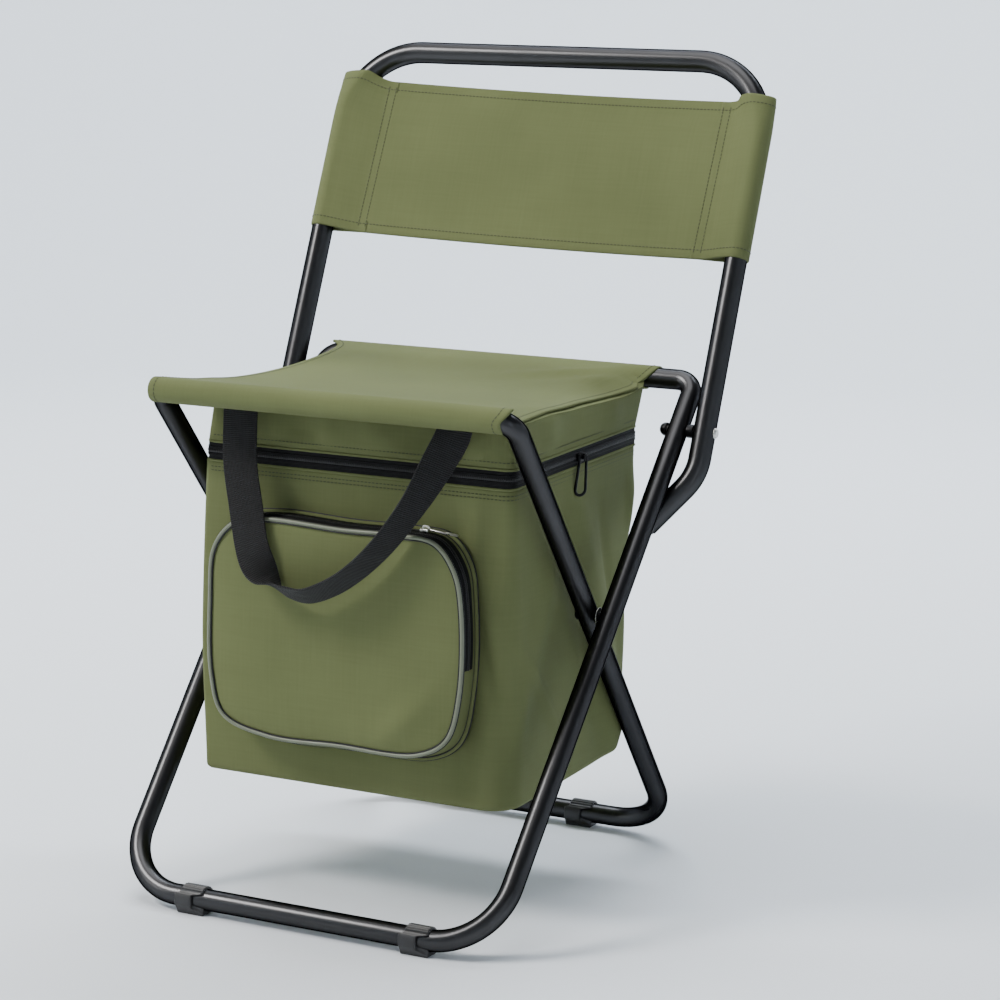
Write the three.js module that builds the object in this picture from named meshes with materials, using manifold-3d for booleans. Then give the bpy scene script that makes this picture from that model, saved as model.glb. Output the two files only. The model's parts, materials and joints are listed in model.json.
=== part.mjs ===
// Folding cooler stool: two crossed loops of steel tube carry a cloth seat, a pinned tube
// backrest and a zipped cooler bag with a front pocket.
// Millimetres. X runs across the stool, Y from its front to its back, Z up from the floor.
// Left is -X and right is +X, as seen by someone who stands in front of the stool.

import * as THREE from 'three';
import { mergeVertices } from 'three/addons/utils/BufferGeometryUtils.js';
import Module from 'manifold-3d';

const wasm = await Module();
wasm.setup();

// Running clearance between pieces, and how far a cutting tool runs past what it cuts
const clearance = 0.3;
const overrun = 5;

// Frame tube, and the places of the four cross bars. Half widths reach to the tube's centre line.
const tubeDiameter = 16;
const tubeSides = 16;
const seatBarHeight = 377;
const floorBarHeight = 11;
const outerFloorBarY = -176;
const outerSeatBarY = 138;
const innerFloorBarY = 178.5;
const innerSeatBarY = -140;
const outerTopHalf = 162;
const legTaper = 9.4;
const crossingGap = 1.4;
const floorBendRadius = 50;
const seatBendRadius = 14;

// Pins, washers and nuts
const pinDiameter = 6;
const pinBite = 3;
const pinHeadDiameter = 8.4;
const pinHeadHeight = 1.8;
const washerDiameter = 14;
const rivetHeadDiameter = 8.8;
const rivetHeadHeight = 2.2;
const spacerDiameter = 10.4;
const capNutDiameter = 10.4;
const capNutHeight = 6.2;
const turnedSides = 16;

// Backrest frame: its pin sits below the seat bar, outside the leg
const backPinDrop = 34.4;
const backPinGap = 5.9;
const backTilt = THREE.MathUtils.degToRad(22);
const backTopHeight = 617.6;
const backBendRadius = 60;
const backHeelDrop = 29;
const backTipDrop = 64.5;
const backHeelRadius = 30;
const backRestGap = 1.3;

// Foot clips on the floor bars, placed from the ends of the bars
const clipLength = 23;
const clipWall = 2.8;
const clipBaseWidth = 17;
const frontClipInset = 60.6;
const rearClipInset = 78.2;

// Seat cloth, with its half widths measured in from the seat bar's ends
const clothThickness = 1.1;
const seatPanelThickness = 2;
const seatSag = 13;
const seatSleeveInset = 15;
const seatPanelEndInset = 22;
const seatWaistInset = 35;

// Back cloth
const backPanelHeight = 129;
const backPanelTopDrop = 28;
const backPanelThickness = 2.4;
const backSeamInset = 37;
const backSleeveDepth = 8;
const backPanelSag = 5;

// Cooler bag, hung below the seat bars and between the inner legs
const zipDrop = 42;
const zipBandHeight = 13;
const bagBodyHeight = 237;
const bagRearLift = 7;
const bagFrontInset = 41;
const bagZipRearInset = 20;
const bagRearTaper = 21;
const lidRearSpread = 8;
const bagSideGap = 12.1;
const bagFloorSpread = 2.5;
const bagSwell = 3.5;
const bagCornerRadius = 8;
const bagEdgeRadius = 6;
const bagWall = 2.5;
const linerWall = 4;
const baseBoardThickness = 3;
const lidTopThickness = 8;
const lidPadThickness = 6;
const zipTapeThickness = 1.6;
const zipTapeProud = 0.5;
const hingeStripInset = 16.5;

// Front pocket
const pocketOffset = 6;
const pocketSideInset = 22.5;
const pocketTopDrop = 37;
const pocketHeight = 155;
const pocketDepth = 25;
const pocketCornerRadius = 35;
const pocketWall = 2;
const pocketBulge = 3;
const pocketBulgeInset = 20;
const pipingDiameter = 4;
const pocketTapeWidth = 11;
const pocketTapeThickness = 1.2;
const pocketTapeReach = 60;
const pocketTapeDrop = 93;

// Zip sliders and pulls
const sliderLength = 9;
const sliderWidth = 7;
const sliderThickness = 2.8;
const sliderPostDiameter = 2.4;
const sliderPostHeight = 2.4;
const sliderCapDiameter = 6;
const sliderCapThickness = 0.8;
const coolerSliderInset = 103;
const ringPullLength = 32;
const ringPullWidth = 9;
const ringPullBar = 2;
const ringPullThickness = 1.5;
const pocketSliderLength = 8;
const tabPullLength = 19;
const tabPullWidth = 5;
const tabPullThickness = 1.2;
const hingeBarDiameter = 1.6;
const hingeLugWidth = 1.4;

// Webbing handle
const strapWidth = 25;
const strapThickness = 1.8;
const strapTopInset = 22;
const strapHingeDrop = 11.5;
const strapSideInset = 36.5;
const strapDrop = 125;
const strapForward = 24;
const strapTurn = THREE.MathUtils.degToRad(52);
const strapSteps = 34;

// Worked out from the sizes above
const tubeRadius = tubeDiameter / 2;
const pinRadius = pinDiameter / 2;
const boreRadius = pinRadius + clearance;
const sleeveRadius = tubeRadius + clearance + clothThickness;
const outerLegs = {
  floorY: outerFloorBarY,
  seatY: outerSeatBarY,
  topHalf: outerTopHalf,
  floorHalf: outerTopHalf - legTaper,
};
const innerLegs = {
  floorY: innerFloorBarY,
  seatY: innerSeatBarY,
  topHalf: outerLegs.topHalf - tubeDiameter - crossingGap,
  floorHalf: outerLegs.floorHalf - tubeDiameter - crossingGap,
};
const legRise = seatBarHeight - floorBarHeight;
const backPinHeight = seatBarHeight - backPinDrop;

const seatSleeveHalf = outerTopHalf - seatSleeveInset;
const seatPanelEndHalf = outerTopHalf - seatPanelEndInset;
const seatWaistHalf = outerTopHalf - seatWaistInset;

const lidBottomHeight = seatBarHeight - zipDrop;
const bagBodyTop = lidBottomHeight - zipBandHeight;
const bagFloorHeight = bagBodyTop - bagBodyHeight;
const bagFrontY = innerSeatBarY + bagFrontInset;
const bagZipRearY = outerSeatBarY - bagZipRearInset;
const bagFloorRearY = bagZipRearY - bagRearTaper;
const lidTopRearY = bagZipRearY + lidRearSpread;
const bagTopHalf = innerLegs.topHalf - tubeRadius - bagSideGap;
const bagFloorHalf = bagTopHalf + bagFloorSpread;
const bagMiddleHalf = bagTopHalf + bagSwell;
const hingeStripHalf = bagTopHalf - hingeStripInset;

const pocketCentreX = -pocketOffset;
const pocketHalf = bagTopHalf - pocketSideInset;
const pocketTopHeight = bagBodyTop - pocketTopDrop;
const pocketBottomHeight = pocketTopHeight - pocketHeight;
const pocketFrontY = bagFrontY - clearance - pocketDepth;
const pocketTapeStartX = pocketCentreX - pocketTapeReach;
const pocketTapeEndHeight = pocketTopHeight - pocketTapeDrop;
const pocketSliderX = pocketCentreX + pocketHalf - pocketCornerRadius - pocketSliderLength / 2;
const coolerSliderY = bagFrontY + coolerSliderInset;

const strapTopY = innerSeatBarY + strapTopInset;
const strapHingeHeight = seatBarHeight - strapHingeDrop;
const strapHalfSpread = bagTopHalf - strapSideInset;

function vec(x, y, z) {
  return new THREE.Vector3(x, y, z);
}

// Where a leg's centre line stands at a height: its half width and its place from front to back
function legAt(legs, height) {
  const share = (height - floorBarHeight) / legRise;
  return {
    x: THREE.MathUtils.lerp(legs.floorHalf, legs.topHalf, share),
    y: THREE.MathUtils.lerp(legs.floorY, legs.seatY, share),
  };
}

// The legs cross where both centre lines have the same place from front to back
function crossingHeight() {
  const outerSlope = (outerLegs.seatY - outerLegs.floorY) / legRise;
  const innerSlope = (innerLegs.seatY - innerLegs.floorY) / legRise;
  return floorBarHeight + (innerLegs.floorY - outerLegs.floorY) / (outerSlope - innerSlope);
}

// Generic makers of closed bodies

// A line through corners that are rounded to the given radii, as places with a direction each
function bentLine(corners, radii, closed = false, arcSteps = 7) {
  const stations = [];
  const count = corners.length;
  corners.forEach((corner, index) => {
    const before = corners[(index + count - 1) % count];
    const after = corners[(index + 1) % count];
    if (!closed && index === 0) {
      stations.push({ at: corner.clone(), along: after.clone().sub(corner).normalize() });
      return;
    }
    if (!closed && index === count - 1) {
      stations.push({ at: corner.clone(), along: corner.clone().sub(before).normalize() });
      return;
    }
    const into = corner.clone().sub(before).normalize();
    const out = after.clone().sub(corner).normalize();
    const turn = into.angleTo(out);
    const axis = into.clone().cross(out).normalize();
    const start = corner.clone().addScaledVector(into, -radii[index] * Math.tan(turn / 2));
    const centre = start.clone().addScaledVector(axis.clone().cross(into), radii[index]);
    for (let step = 0; step <= arcSteps; step += 1) {
      const angle = (turn * step) / arcSteps;
      stations.push({
        at: start.clone().sub(centre).applyAxisAngle(axis, angle).add(centre),
        along: into.clone().applyAxisAngle(axis, angle),
      });
    }
  });
  return stations;
}

// Triangles that close a ring of points, facing the way the ring turns anticlockwise
function capFaces(ring) {
  const normal = vec(0, 0, 0);
  ring.forEach((point, index) => {
    normal.add(point.clone().cross(ring[(index + 1) % ring.length]));
  });
  normal.normalize();
  const across = ring[1].clone().sub(ring[0]).projectOnPlane(normal).normalize();
  const other = normal.clone().cross(across);
  const flat = ring.map((point) => new THREE.Vector2(point.dot(across), point.dot(other)));
  return THREE.ShapeUtils.triangulateShape(flat, []);
}

// A skin over rings of equal count, each anticlockwise about the way the rings follow each other
function loft(rings, closed = false) {
  const size = rings[0].length;
  const index = [];
  const spans = closed ? rings.length : rings.length - 1;
  for (let span = 0; span < spans; span += 1) {
    const here = span * size;
    const next = ((span + 1) % rings.length) * size;
    for (let corner = 0; corner < size; corner += 1) {
      const beside = (corner + 1) % size;
      index.push(here + corner, here + beside, next + beside);
      index.push(here + corner, next + beside, next + corner);
    }
  }
  if (!closed) {
    const last = (rings.length - 1) * size;
    capFaces(rings[0]).forEach(([a, b, c]) => index.push(c, b, a));
    capFaces(rings[rings.length - 1]).forEach(([a, b, c]) => index.push(last + a, last + b, last + c));
  }
  const geometry = new THREE.BufferGeometry();
  geometry.setAttribute(
    'position',
    new THREE.Float32BufferAttribute(rings.flat().flatMap((point) => point.toArray()), 3),
  );
  geometry.setIndex(index);
  geometry.computeVertexNormals();
  return geometry;
}

// An outline carried along stations without twist; side is the outline's first direction
function sweep(stations, outline, side, closed = false) {
  const across = side.clone();
  let previous = stations[0].along;
  const rings = stations.map(({ at, along }) => {
    across.applyQuaternion(new THREE.Quaternion().setFromUnitVectors(previous, along));
    previous = along;
    const other = along.clone().cross(across);
    return outline.map((point) => at.clone()
      .addScaledVector(across, point.x)
      .addScaledVector(other, point.y));
  });
  return loft(rings, closed);
}

function circleOutline(radius, sides) {
  return Array.from({ length: sides }, (_, index) => {
    const angle = (2 * Math.PI * index) / sides;
    return new THREE.Vector2(radius * Math.cos(angle), radius * Math.sin(angle));
  });
}

function boxOutline(width, height) {
  const x = width / 2;
  const y = height / 2;
  return [
    new THREE.Vector2(-x, -y),
    new THREE.Vector2(x, -y),
    new THREE.Vector2(x, y),
    new THREE.Vector2(-x, y),
  ];
}

// A rectangle with round corners, anticlockwise, as flat points
function roundedRectangle(left, right, bottom, top, radius, steps = 4) {
  const corners = [
    [right - radius, top - radius],
    [left + radius, top - radius],
    [left + radius, bottom + radius],
    [right - radius, bottom + radius],
  ];
  return corners.flatMap(([x, y], corner) => Array.from({ length: steps + 1 }, (_, step) => {
    const angle = (Math.PI / 2) * (corner + step / steps);
    return new THREE.Vector2(x + radius * Math.cos(angle), y + radius * Math.sin(angle));
  }));
}

// Booleans

function toSolid(geometry) {
  const bare = geometry.clone();
  bare.deleteAttribute('normal');
  bare.deleteAttribute('uv');
  const welded = mergeVertices(bare);
  const faces = [];
  for (let face = 0; face < welded.index.count; face += 3) {
    const [a, b, c] = [0, 1, 2].map((corner) => welded.index.getX(face + corner));
    if (a !== b && b !== c && c !== a) faces.push(a, b, c);
  }
  return new wasm.Manifold(new wasm.Mesh({
    numProp: 3,
    vertProperties: new Float32Array(welded.attributes.position.array),
    triVerts: new Uint32Array(faces),
  }));
}

function toGeometry(solid) {
  const { vertProperties, triVerts } = solid.getMesh();
  const geometry = new THREE.BufferGeometry();
  geometry.setAttribute('position', new THREE.Float32BufferAttribute(vertProperties, 3));
  geometry.setIndex([...triVerts]);
  geometry.computeVertexNormals();
  return geometry;
}

function cut(geometry, ...tools) {
  return toGeometry(tools.reduce((solid, tool) => solid.subtract(toSolid(tool)), toSolid(geometry)));
}

// A round bar along X between two places
function barAlongX(fromX, toX, y, z, radius, sides = turnedSides) {
  const geometry = new THREE.CylinderGeometry(radius, radius, Math.abs(toX - fromX), sides);
  geometry.rotateZ(-Math.PI / 2);
  geometry.translate((fromX + toX) / 2, y, z);
  return geometry;
}

// Materials

function paint(name, color, roughness, metalness = 0) {
  return new THREE.MeshStandardMaterial({ name, color, roughness, metalness });
}

const materials = {
  tube: paint('tube', 0x141416, 0.28, 0.3),
  clip: paint('clip', 0x1b1b1d, 0.5),
  metal: paint('metal', 0xb9b9b4, 0.35, 0.9),
  blackMetal: paint('blackMetal', 0x1c1c1e, 0.35, 0.7),
  canvas: paint('canvas', 0x79834f, 0.85),
  liner: paint('liner', 0xc9ccce, 0.35, 0.4),
  board: paint('board', 0x3a3c34, 0.8),
  webbing: paint('webbing', 0x151516, 0.9),
  zip: paint('zip', 0x121213, 0.7),
  piping: paint('piping', 0x77806b, 0.6),
  pull: paint('pull', 0x2a2a2b, 0.4, 0.5),
};

const stool = new THREE.Group();

function addPiece(name, geometry, material) {
  const mesh = new THREE.Mesh(geometry, material);
  mesh.name = name;
  stool.add(mesh);
  return mesh;
}

// Both sides of the stool, with the sign of their X
const sides = [['left', -1], ['right', 1]];

// A turned piece whose profile runs along its axis, laid along X at a place. The profile's points are
// [distance along X from the place, radius], and side turns it round for the left of the stool.
function addTurned(name, profile, side, place, material) {
  const points = profile.map(([along, radius]) => new THREE.Vector2(radius, along));
  const geometry = new THREE.LatheGeometry(points, turnedSides);
  const mesh = addPiece(name, geometry, material);
  mesh.rotation.z = (-side * Math.PI) / 2;
  mesh.position.set(side * place.x, place.y, place.z);
  return mesh;
}

// Frame tubes

function legLoop(legs, radius) {
  const corners = [
    vec(-legs.floorHalf, legs.floorY, floorBarHeight),
    vec(legs.floorHalf, legs.floorY, floorBarHeight),
    vec(legs.topHalf, legs.seatY, seatBarHeight),
    vec(-legs.topHalf, legs.seatY, seatBarHeight),
  ];
  const radii = [floorBendRadius, floorBendRadius, seatBendRadius, seatBendRadius];
  const normal = vec(1, 0, 0).cross(corners[2].clone().sub(corners[1])).normalize();
  return sweep(bentLine(corners, radii, true), circleOutline(radius, tubeSides), normal, true);
}

const crossing = crossingHeight();
const outerAtCrossing = legAt(outerLegs, crossing);
const innerAtCrossing = legAt(innerLegs, crossing);
const outerAtPin = legAt(outerLegs, backPinHeight);
const backUp = vec(0, Math.sin(backTilt), Math.cos(backTilt));
const backHalf = outerAtPin.x + tubeDiameter + backPinGap;
const backPin = vec(backHalf, outerAtPin.y, backPinHeight);
const backSlopeLength = (backTopHeight - backPinHeight) / Math.cos(backTilt);

// The backrest tube's corners on the right side, from its tip behind the leg to the top bar
function backCorners() {
  const legWay = vec(
    outerLegs.topHalf - outerLegs.floorHalf,
    outerLegs.seatY - outerLegs.floorY,
    legRise,
  ).normalize();
  const behindLeg = vec(1, 0, 0).cross(legWay).normalize().negate();
  const tip = vec(outerAtPin.x, outerAtPin.y, backPinHeight)
    .addScaledVector(legWay, -backTipDrop)
    .addScaledVector(behindLeg, tubeDiameter + backRestGap);
  const heel = backPin.clone().addScaledVector(backUp, -backHeelDrop);
  const top = backPin.clone().addScaledVector(backUp, backSlopeLength);
  return [tip, heel, top];
}

function mirrored(point) {
  return vec(-point.x, point.y, point.z);
}

function backTube(radius) {
  const right = backCorners();
  const corners = [...right, ...right.map(mirrored).reverse()];
  const radii = [0, backHeelRadius, backBendRadius, backBendRadius, backHeelRadius, 0];
  const start = corners[1].clone().sub(corners[0]).normalize();
  const side = vec(1, 0, 0).projectOnPlane(start).normalize();
  return sweep(bentLine(corners, radii), circleOutline(radius, tubeSides), side);
}

function addFrames() {
  const outerTools = sides.flatMap(([, side]) => [
    barAlongX(
      side * (outerAtCrossing.x - tubeRadius - overrun),
      side * (outerAtCrossing.x + pinBite + clearance),
      outerAtCrossing.y,
      crossing,
      boreRadius,
    ),
    barAlongX(
      side * (outerAtPin.x - tubeRadius - overrun),
      side * (outerAtPin.x + tubeRadius + overrun),
      outerAtPin.y,
      backPinHeight,
      boreRadius,
    ),
  ]);
  addPiece('outer_leg_frame', cut(legLoop(outerLegs, tubeRadius), ...outerTools), materials.tube);

  const innerTools = sides.map(([, side]) => barAlongX(
    side * (innerAtCrossing.x - tubeRadius - overrun),
    side * (innerAtCrossing.x + tubeRadius + overrun),
    innerAtCrossing.y,
    crossing,
    boreRadius,
  ));
  addPiece('inner_leg_frame', cut(legLoop(innerLegs, tubeRadius), ...innerTools), materials.tube);

  const backTools = sides.map(([, side]) => barAlongX(
    side * (backHalf - tubeRadius - overrun),
    side * (backHalf + tubeRadius + overrun),
    backPin.y,
    backPin.z,
    boreRadius,
  ));
  addPiece('back_frame', cut(backTube(tubeRadius), ...backTools), materials.tube);
}

// Pins where the legs cross: a low head inside, a shaft through the inner leg into the outer one
function addCrossingPins() {
  sides.forEach(([name, side]) => {
    const seat = innerAtCrossing.x - tubeRadius - clearance;
    const tip = outerAtCrossing.x + pinBite;
    addTurned(
      `leg_pivot_pin_${name}`,
      [
        [-pinHeadHeight, 0],
        [-pinHeadHeight, pinHeadDiameter / 4],
        [-pinHeadHeight / 2, pinHeadDiameter / 2],
        [0, pinHeadDiameter / 2],
        [0, pinRadius],
        [tip - seat, pinRadius],
        [tip - seat, 0],
      ],
      side,
      vec(seat, innerAtCrossing.y, crossing),
      materials.blackMetal,
    );
    addTurned(
      `leg_pivot_washer_${name}`,
      ringProfile(crossingGap - 2 * clearance, washerDiameter / 2),
      side,
      vec(innerAtCrossing.x + tubeRadius + clearance, innerAtCrossing.y, crossing),
      materials.metal,
    );
  });
}

// A ring of a length along its axis, bored to run on a pin
function ringProfile(length, radius) {
  return [
    [0, boreRadius],
    [0, radius],
    [length, radius],
    [length, boreRadius],
    [0, boreRadius],
  ];
}

// Backrest pins: a domed nut inside the leg, a spacer between leg and back tube, a flat head outside
function addBackPins() {
  sides.forEach(([name, side]) => {
    const nutSeat = outerAtPin.x - tubeRadius - clearance;
    const headSeat = backHalf + tubeRadius + clearance;
    const nutBore = capNutHeight / 2;
    addTurned(
      `back_pin_${name}`,
      [
        [-nutBore + clearance, 0],
        [-nutBore + clearance, pinRadius],
        [headSeat - nutSeat, pinRadius],
        [headSeat - nutSeat, rivetHeadDiameter / 2],
        [headSeat - nutSeat + rivetHeadHeight / 2, rivetHeadDiameter / 2],
        [headSeat - nutSeat + rivetHeadHeight, rivetHeadDiameter / 4],
        [headSeat - nutSeat + rivetHeadHeight, 0],
      ],
      side,
      vec(nutSeat, backPin.y, backPin.z),
      materials.metal,
    );
    const domeSteps = 5;
    const dome = Array.from({ length: domeSteps + 1 }, (_, step) => {
      const angle = (Math.PI / 2) * (step / domeSteps);
      return [-capNutHeight * Math.cos(angle), (capNutDiameter / 2) * Math.sin(angle)];
    });
    dome[0][1] = 0;
    addTurned(
      `back_cap_nut_${name}`,
      [...dome, [0, boreRadius], [-nutBore, boreRadius], [-nutBore, 0]],
      side,
      vec(nutSeat, backPin.y, backPin.z),
      materials.blackMetal,
    );
    const spacerSeat = outerAtPin.x + tubeRadius + clearance;
    addTurned(
      `back_spacer_${name}`,
      ringProfile(backHalf - tubeRadius - clearance - spacerSeat, spacerDiameter / 2),
      side,
      vec(spacerSeat, backPin.y, backPin.z),
      materials.blackMetal,
    );
  });
}

// Foot clips: a collar round the floor bar with a flat base on the floor
function clipGeometry() {
  const radius = tubeRadius + clipWall;
  const shoulder = THREE.MathUtils.degToRad(35);
  const shape = new THREE.Shape();
  shape.moveTo(-clipBaseWidth / 2, -floorBarHeight);
  shape.lineTo(clipBaseWidth / 2, -floorBarHeight);
  shape.absarc(0, 0, radius, -shoulder, Math.PI + shoulder, false);
  const bore = new THREE.Path();
  bore.absarc(0, 0, tubeRadius + clearance, 0, 2 * Math.PI, true);
  shape.holes.push(bore);
  const geometry = new THREE.ExtrudeGeometry(shape, {
    depth: clipLength,
    bevelEnabled: false,
    curveSegments: 16,
  });
  geometry.translate(0, 0, -clipLength / 2);
  return geometry;
}

function addFootClips() {
  const alongX = new THREE.Matrix4().makeBasis(vec(0, 1, 0), vec(0, 0, 1), vec(1, 0, 0));
  const rows = [
    ['front', outerLegs, frontClipInset],
    ['rear', innerLegs, rearClipInset],
  ];
  rows.forEach(([row, legs, inset]) => sides.forEach(([name, side]) => {
    const clip = addPiece(`foot_clip_${row}_${name}`, clipGeometry(), materials.clip);
    clip.quaternion.setFromRotationMatrix(alongX);
    clip.position.set(side * (legs.floorHalf - inset), legs.floorY, floorBarHeight);
  }));
}

// Seat cloth: height of its top and its half width at a place from front to back
function seatSpanShare(y) {
  const middle = (innerSeatBarY + outerSeatBarY) / 2;
  return (2 * (y - middle)) / (outerSeatBarY - innerSeatBarY);
}

function seatTopAt(y) {
  const share = seatSpanShare(y);
  return seatBarHeight + sleeveRadius - seatSag * (1 - share * share);
}

function seatHalfAt(y) {
  return seatWaistHalf + (seatPanelEndHalf - seatWaistHalf) * seatSpanShare(y) ** 4;
}

// A strip that follows the seat's curve from bar to bar, between two offsets from the seat's top
function seatStrip(lower, upper, halfAt, steps = 14) {
  const rings = Array.from({ length: steps + 1 }, (_, step) => {
    const y = THREE.MathUtils.lerp(innerSeatBarY, outerSeatBarY, step / steps);
    const half = halfAt(y);
    const top = seatTopAt(y) + upper;
    const bottom = seatTopAt(y) + lower;
    return [vec(-half, y, top), vec(half, y, top), vec(half, y, bottom), vec(-half, y, bottom)];
  });
  return loft(rings);
}

function addSeat() {
  const panel = toSolid(seatStrip(-seatPanelThickness, 0, seatHalfAt));
  const sleeves = [innerSeatBarY, outerSeatBarY].map((y) => toSolid(
    barAlongX(-seatSleeveHalf, seatSleeveHalf, y, seatBarHeight, sleeveRadius, 24),
  ));
  const cloth = sleeves.reduce((solid, sleeve) => solid.add(sleeve), panel);
  const tubes = [outerLegs, innerLegs].map((legs) => toSolid(legLoop(legs, tubeRadius + clearance)));
  const cutCloth = tubes.reduce((solid, tube) => solid.subtract(tube), cloth);
  addPiece('seat_sling', toGeometry(cutCloth), materials.canvas);
}

// Back cloth: a sleeve round each back tube and a panel between them
function backPanelOutline() {
  const radius = sleeveRadius;
  const seamX = backHalf - backSeamInset;
  const innerX = backHalf - backSleeveDepth;
  const half = backPanelThickness / 2;
  const arcSteps = 8;
  const sagSteps = 6;
  const arc = Array.from({ length: arcSteps + 1 }, (_, step) => {
    const angle = Math.PI * (step / arcSteps - 1 / 2);
    return new THREE.Vector2(backHalf + radius * Math.cos(angle), radius * Math.sin(angle));
  });
  const seam = Array.from({ length: sagSteps + 1 }, (_, step) => {
    const share = 1 - (2 * step) / sagSteps;
    return new THREE.Vector2(seamX * share, half + backPanelSag * (1 - share * share));
  });
  const returnSeam = seam.map((point) => new THREE.Vector2(-point.x, point.y - backPanelThickness));
  return [
    new THREE.Vector2(innerX, -radius),
    ...arc,
    new THREE.Vector2(innerX, radius),
    ...seam,
    new THREE.Vector2(-innerX, radius),
    ...arc.map((point) => new THREE.Vector2(-point.x, -point.y)),
    new THREE.Vector2(-innerX, -radius),
    ...returnSeam,
  ];
}

function addBackPanel() {
  const top = backSlopeLength - backPanelTopDrop;
  const stations = [top - backPanelHeight, top].map((distance) => ({
    at: vec(0, backPin.y, backPin.z).addScaledVector(backUp, distance),
    along: backUp,
  }));
  const cloth = sweep(stations, backPanelOutline(), vec(1, 0, 0));
  addPiece('back_panel', cut(cloth, backTube(tubeRadius + clearance)), materials.canvas);
}

// Cooler bag

// The bag's plan at a height, drawn in by an inset: floor, middle and zip levels are joined smoothly
function bagRing(height, inset) {
  const share = (height - bagFloorHeight) / (bagBodyTop - bagFloorHeight);
  const straight = THREE.MathUtils.lerp(bagFloorHalf, bagTopHalf, share);
  const swell = bagMiddleHalf - (bagFloorHalf + bagTopHalf) / 2;
  const half = straight + swell * 4 * share * (1 - share) - inset;
  const rear = THREE.MathUtils.lerp(bagFloorRearY, bagZipRearY, share) - inset;
  const radius = bagCornerRadius - inset / 2;
  return planRing(half, bagFrontY + inset, rear, radius, height);
}

// The bag hangs a little higher at its rear than at its front
function leanHeight(y) {
  return (bagRearLift * (y - bagFrontY)) / (bagZipRearY - bagFrontY);
}

function planRing(half, front, rear, radius, height) {
  return roundedRectangle(-half, half, front, rear, radius)
    .map((point) => vec(point.x, point.y, height + leanHeight(point.y)));
}

function levels(from, to, count) {
  return Array.from({ length: count }, (_, step) => THREE.MathUtils.lerp(from, to, step / (count - 1)));
}

// An open tub: the outer skin going up, then the inner skin going down
function tub(bottom, top, wall, inset) {
  const outer = levels(bottom + bagEdgeRadius, top, 5).map((height) => bagRing(height, inset));
  const inner = levels(top, bottom + wall + bagEdgeRadius, 5)
    .map((height) => bagRing(height, inset + wall));
  return loft([
    bagRing(bottom, inset + bagEdgeRadius),
    ...outer,
    ...inner,
    bagRing(bottom + wall, inset + wall + bagEdgeRadius),
  ]);
}

function lidRing(height, inset) {
  const lidRise = seatTopAt(bagFrontY) - lidBottomHeight;
  const share = (height - lidBottomHeight) / lidRise;
  const rear = THREE.MathUtils.lerp(bagZipRearY, lidTopRearY, share) - inset;
  return planRing(bagTopHalf - inset, bagFrontY + inset, rear, bagCornerRadius - inset / 2, height);
}

function addCoolerBag() {
  addPiece('cooler_body', tub(bagFloorHeight, bagBodyTop, bagWall, 0), materials.canvas);

  const linerBottom = bagFloorHeight + bagWall + clearance;
  const linerInset = bagWall + clearance;
  addPiece('cooler_liner', tub(linerBottom, bagBodyTop, linerWall, linerInset), materials.liner);

  const boardBottom = linerBottom + linerWall + clearance;
  const boardInset = linerInset + linerWall + bagEdgeRadius + clearance;
  addPiece(
    'cooler_base_board',
    loft([bagRing(boardBottom, boardInset), bagRing(boardBottom + baseBoardThickness, boardInset)]),
    materials.board,
  );

  const seatUnder = -seatPanelThickness - clearance;
  const lidCeiling = seatTopAt((innerSeatBarY + outerSeatBarY) / 2) + seatUnder - lidTopThickness;
  const lidBlock = loft([
    lidRing(lidBottomHeight, 0),
    lidRing(seatTopAt(bagFrontY), 0),
  ]);
  const seatCutter = seatStrip(seatUnder, 2 * seatSag, () => seatSleeveHalf);
  const lidHollow = loft([
    lidRing(lidBottomHeight - overrun, bagWall),
    lidRing(lidCeiling, bagWall),
  ]);
  addPiece('cooler_lid', cut(lidBlock, seatCutter, lidHollow), materials.canvas);

  const padInset = bagWall + clearance;
  addPiece(
    'cooler_lid_pad',
    loft([
      lidRing(lidCeiling - clearance - lidPadThickness, padInset),
      lidRing(lidCeiling - clearance, padInset),
    ]),
    materials.liner,
  );
}

// Main zip: a band round the front and both sides, and a plain cloth strip that joins the rear
function addCoolerZip() {
  const height = zipBandHeight - 2 * clearance;
  const middle = bagBodyTop + zipBandHeight / 2;
  const inset = zipTapeThickness / 2 - zipTapeProud;
  const half = bagTopHalf - inset;
  const front = bagFrontY + inset;
  const rear = bagZipRearY - bagCornerRadius;
  const radius = bagCornerRadius - inset;
  const line = bentLine(
    [
      vec(-half, rear, middle + leanHeight(rear)),
      vec(-half, front, middle + leanHeight(front)),
      vec(half, front, middle + leanHeight(front)),
      vec(half, rear, middle + leanHeight(rear)),
    ],
    [0, radius, radius, 0],
  );
  addPiece(
    'cooler_zip_tape',
    sweep(line, boxOutline(zipTapeThickness, height), vec(1, 0, 0)),
    materials.zip,
  );

  const strip = new THREE.BoxGeometry(2 * hingeStripHalf, bagWall, height);
  const hinge = addPiece('cooler_rear_strip', strip, materials.canvas);
  const hingeY = bagZipRearY - bagWall / 2;
  hinge.position.set(0, hingeY, middle + leanHeight(hingeY));

  const face = bagTopHalf + zipTapeProud + clearance;
  const sliderHeight = middle + leanHeight(coolerSliderY);
  const slider = addPiece('cooler_zip_slider', postSliderGeometry(), materials.blackMetal);
  slider.position.set(face, coolerSliderY, sliderHeight);
  const pull = addPiece('cooler_zip_pull', ringPullGeometry(), materials.pull);
  const ringGap = (sliderPostHeight - ringPullThickness) / 2;
  pull.position.set(face + sliderThickness + ringGap, coolerSliderY, sliderHeight);
}

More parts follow.
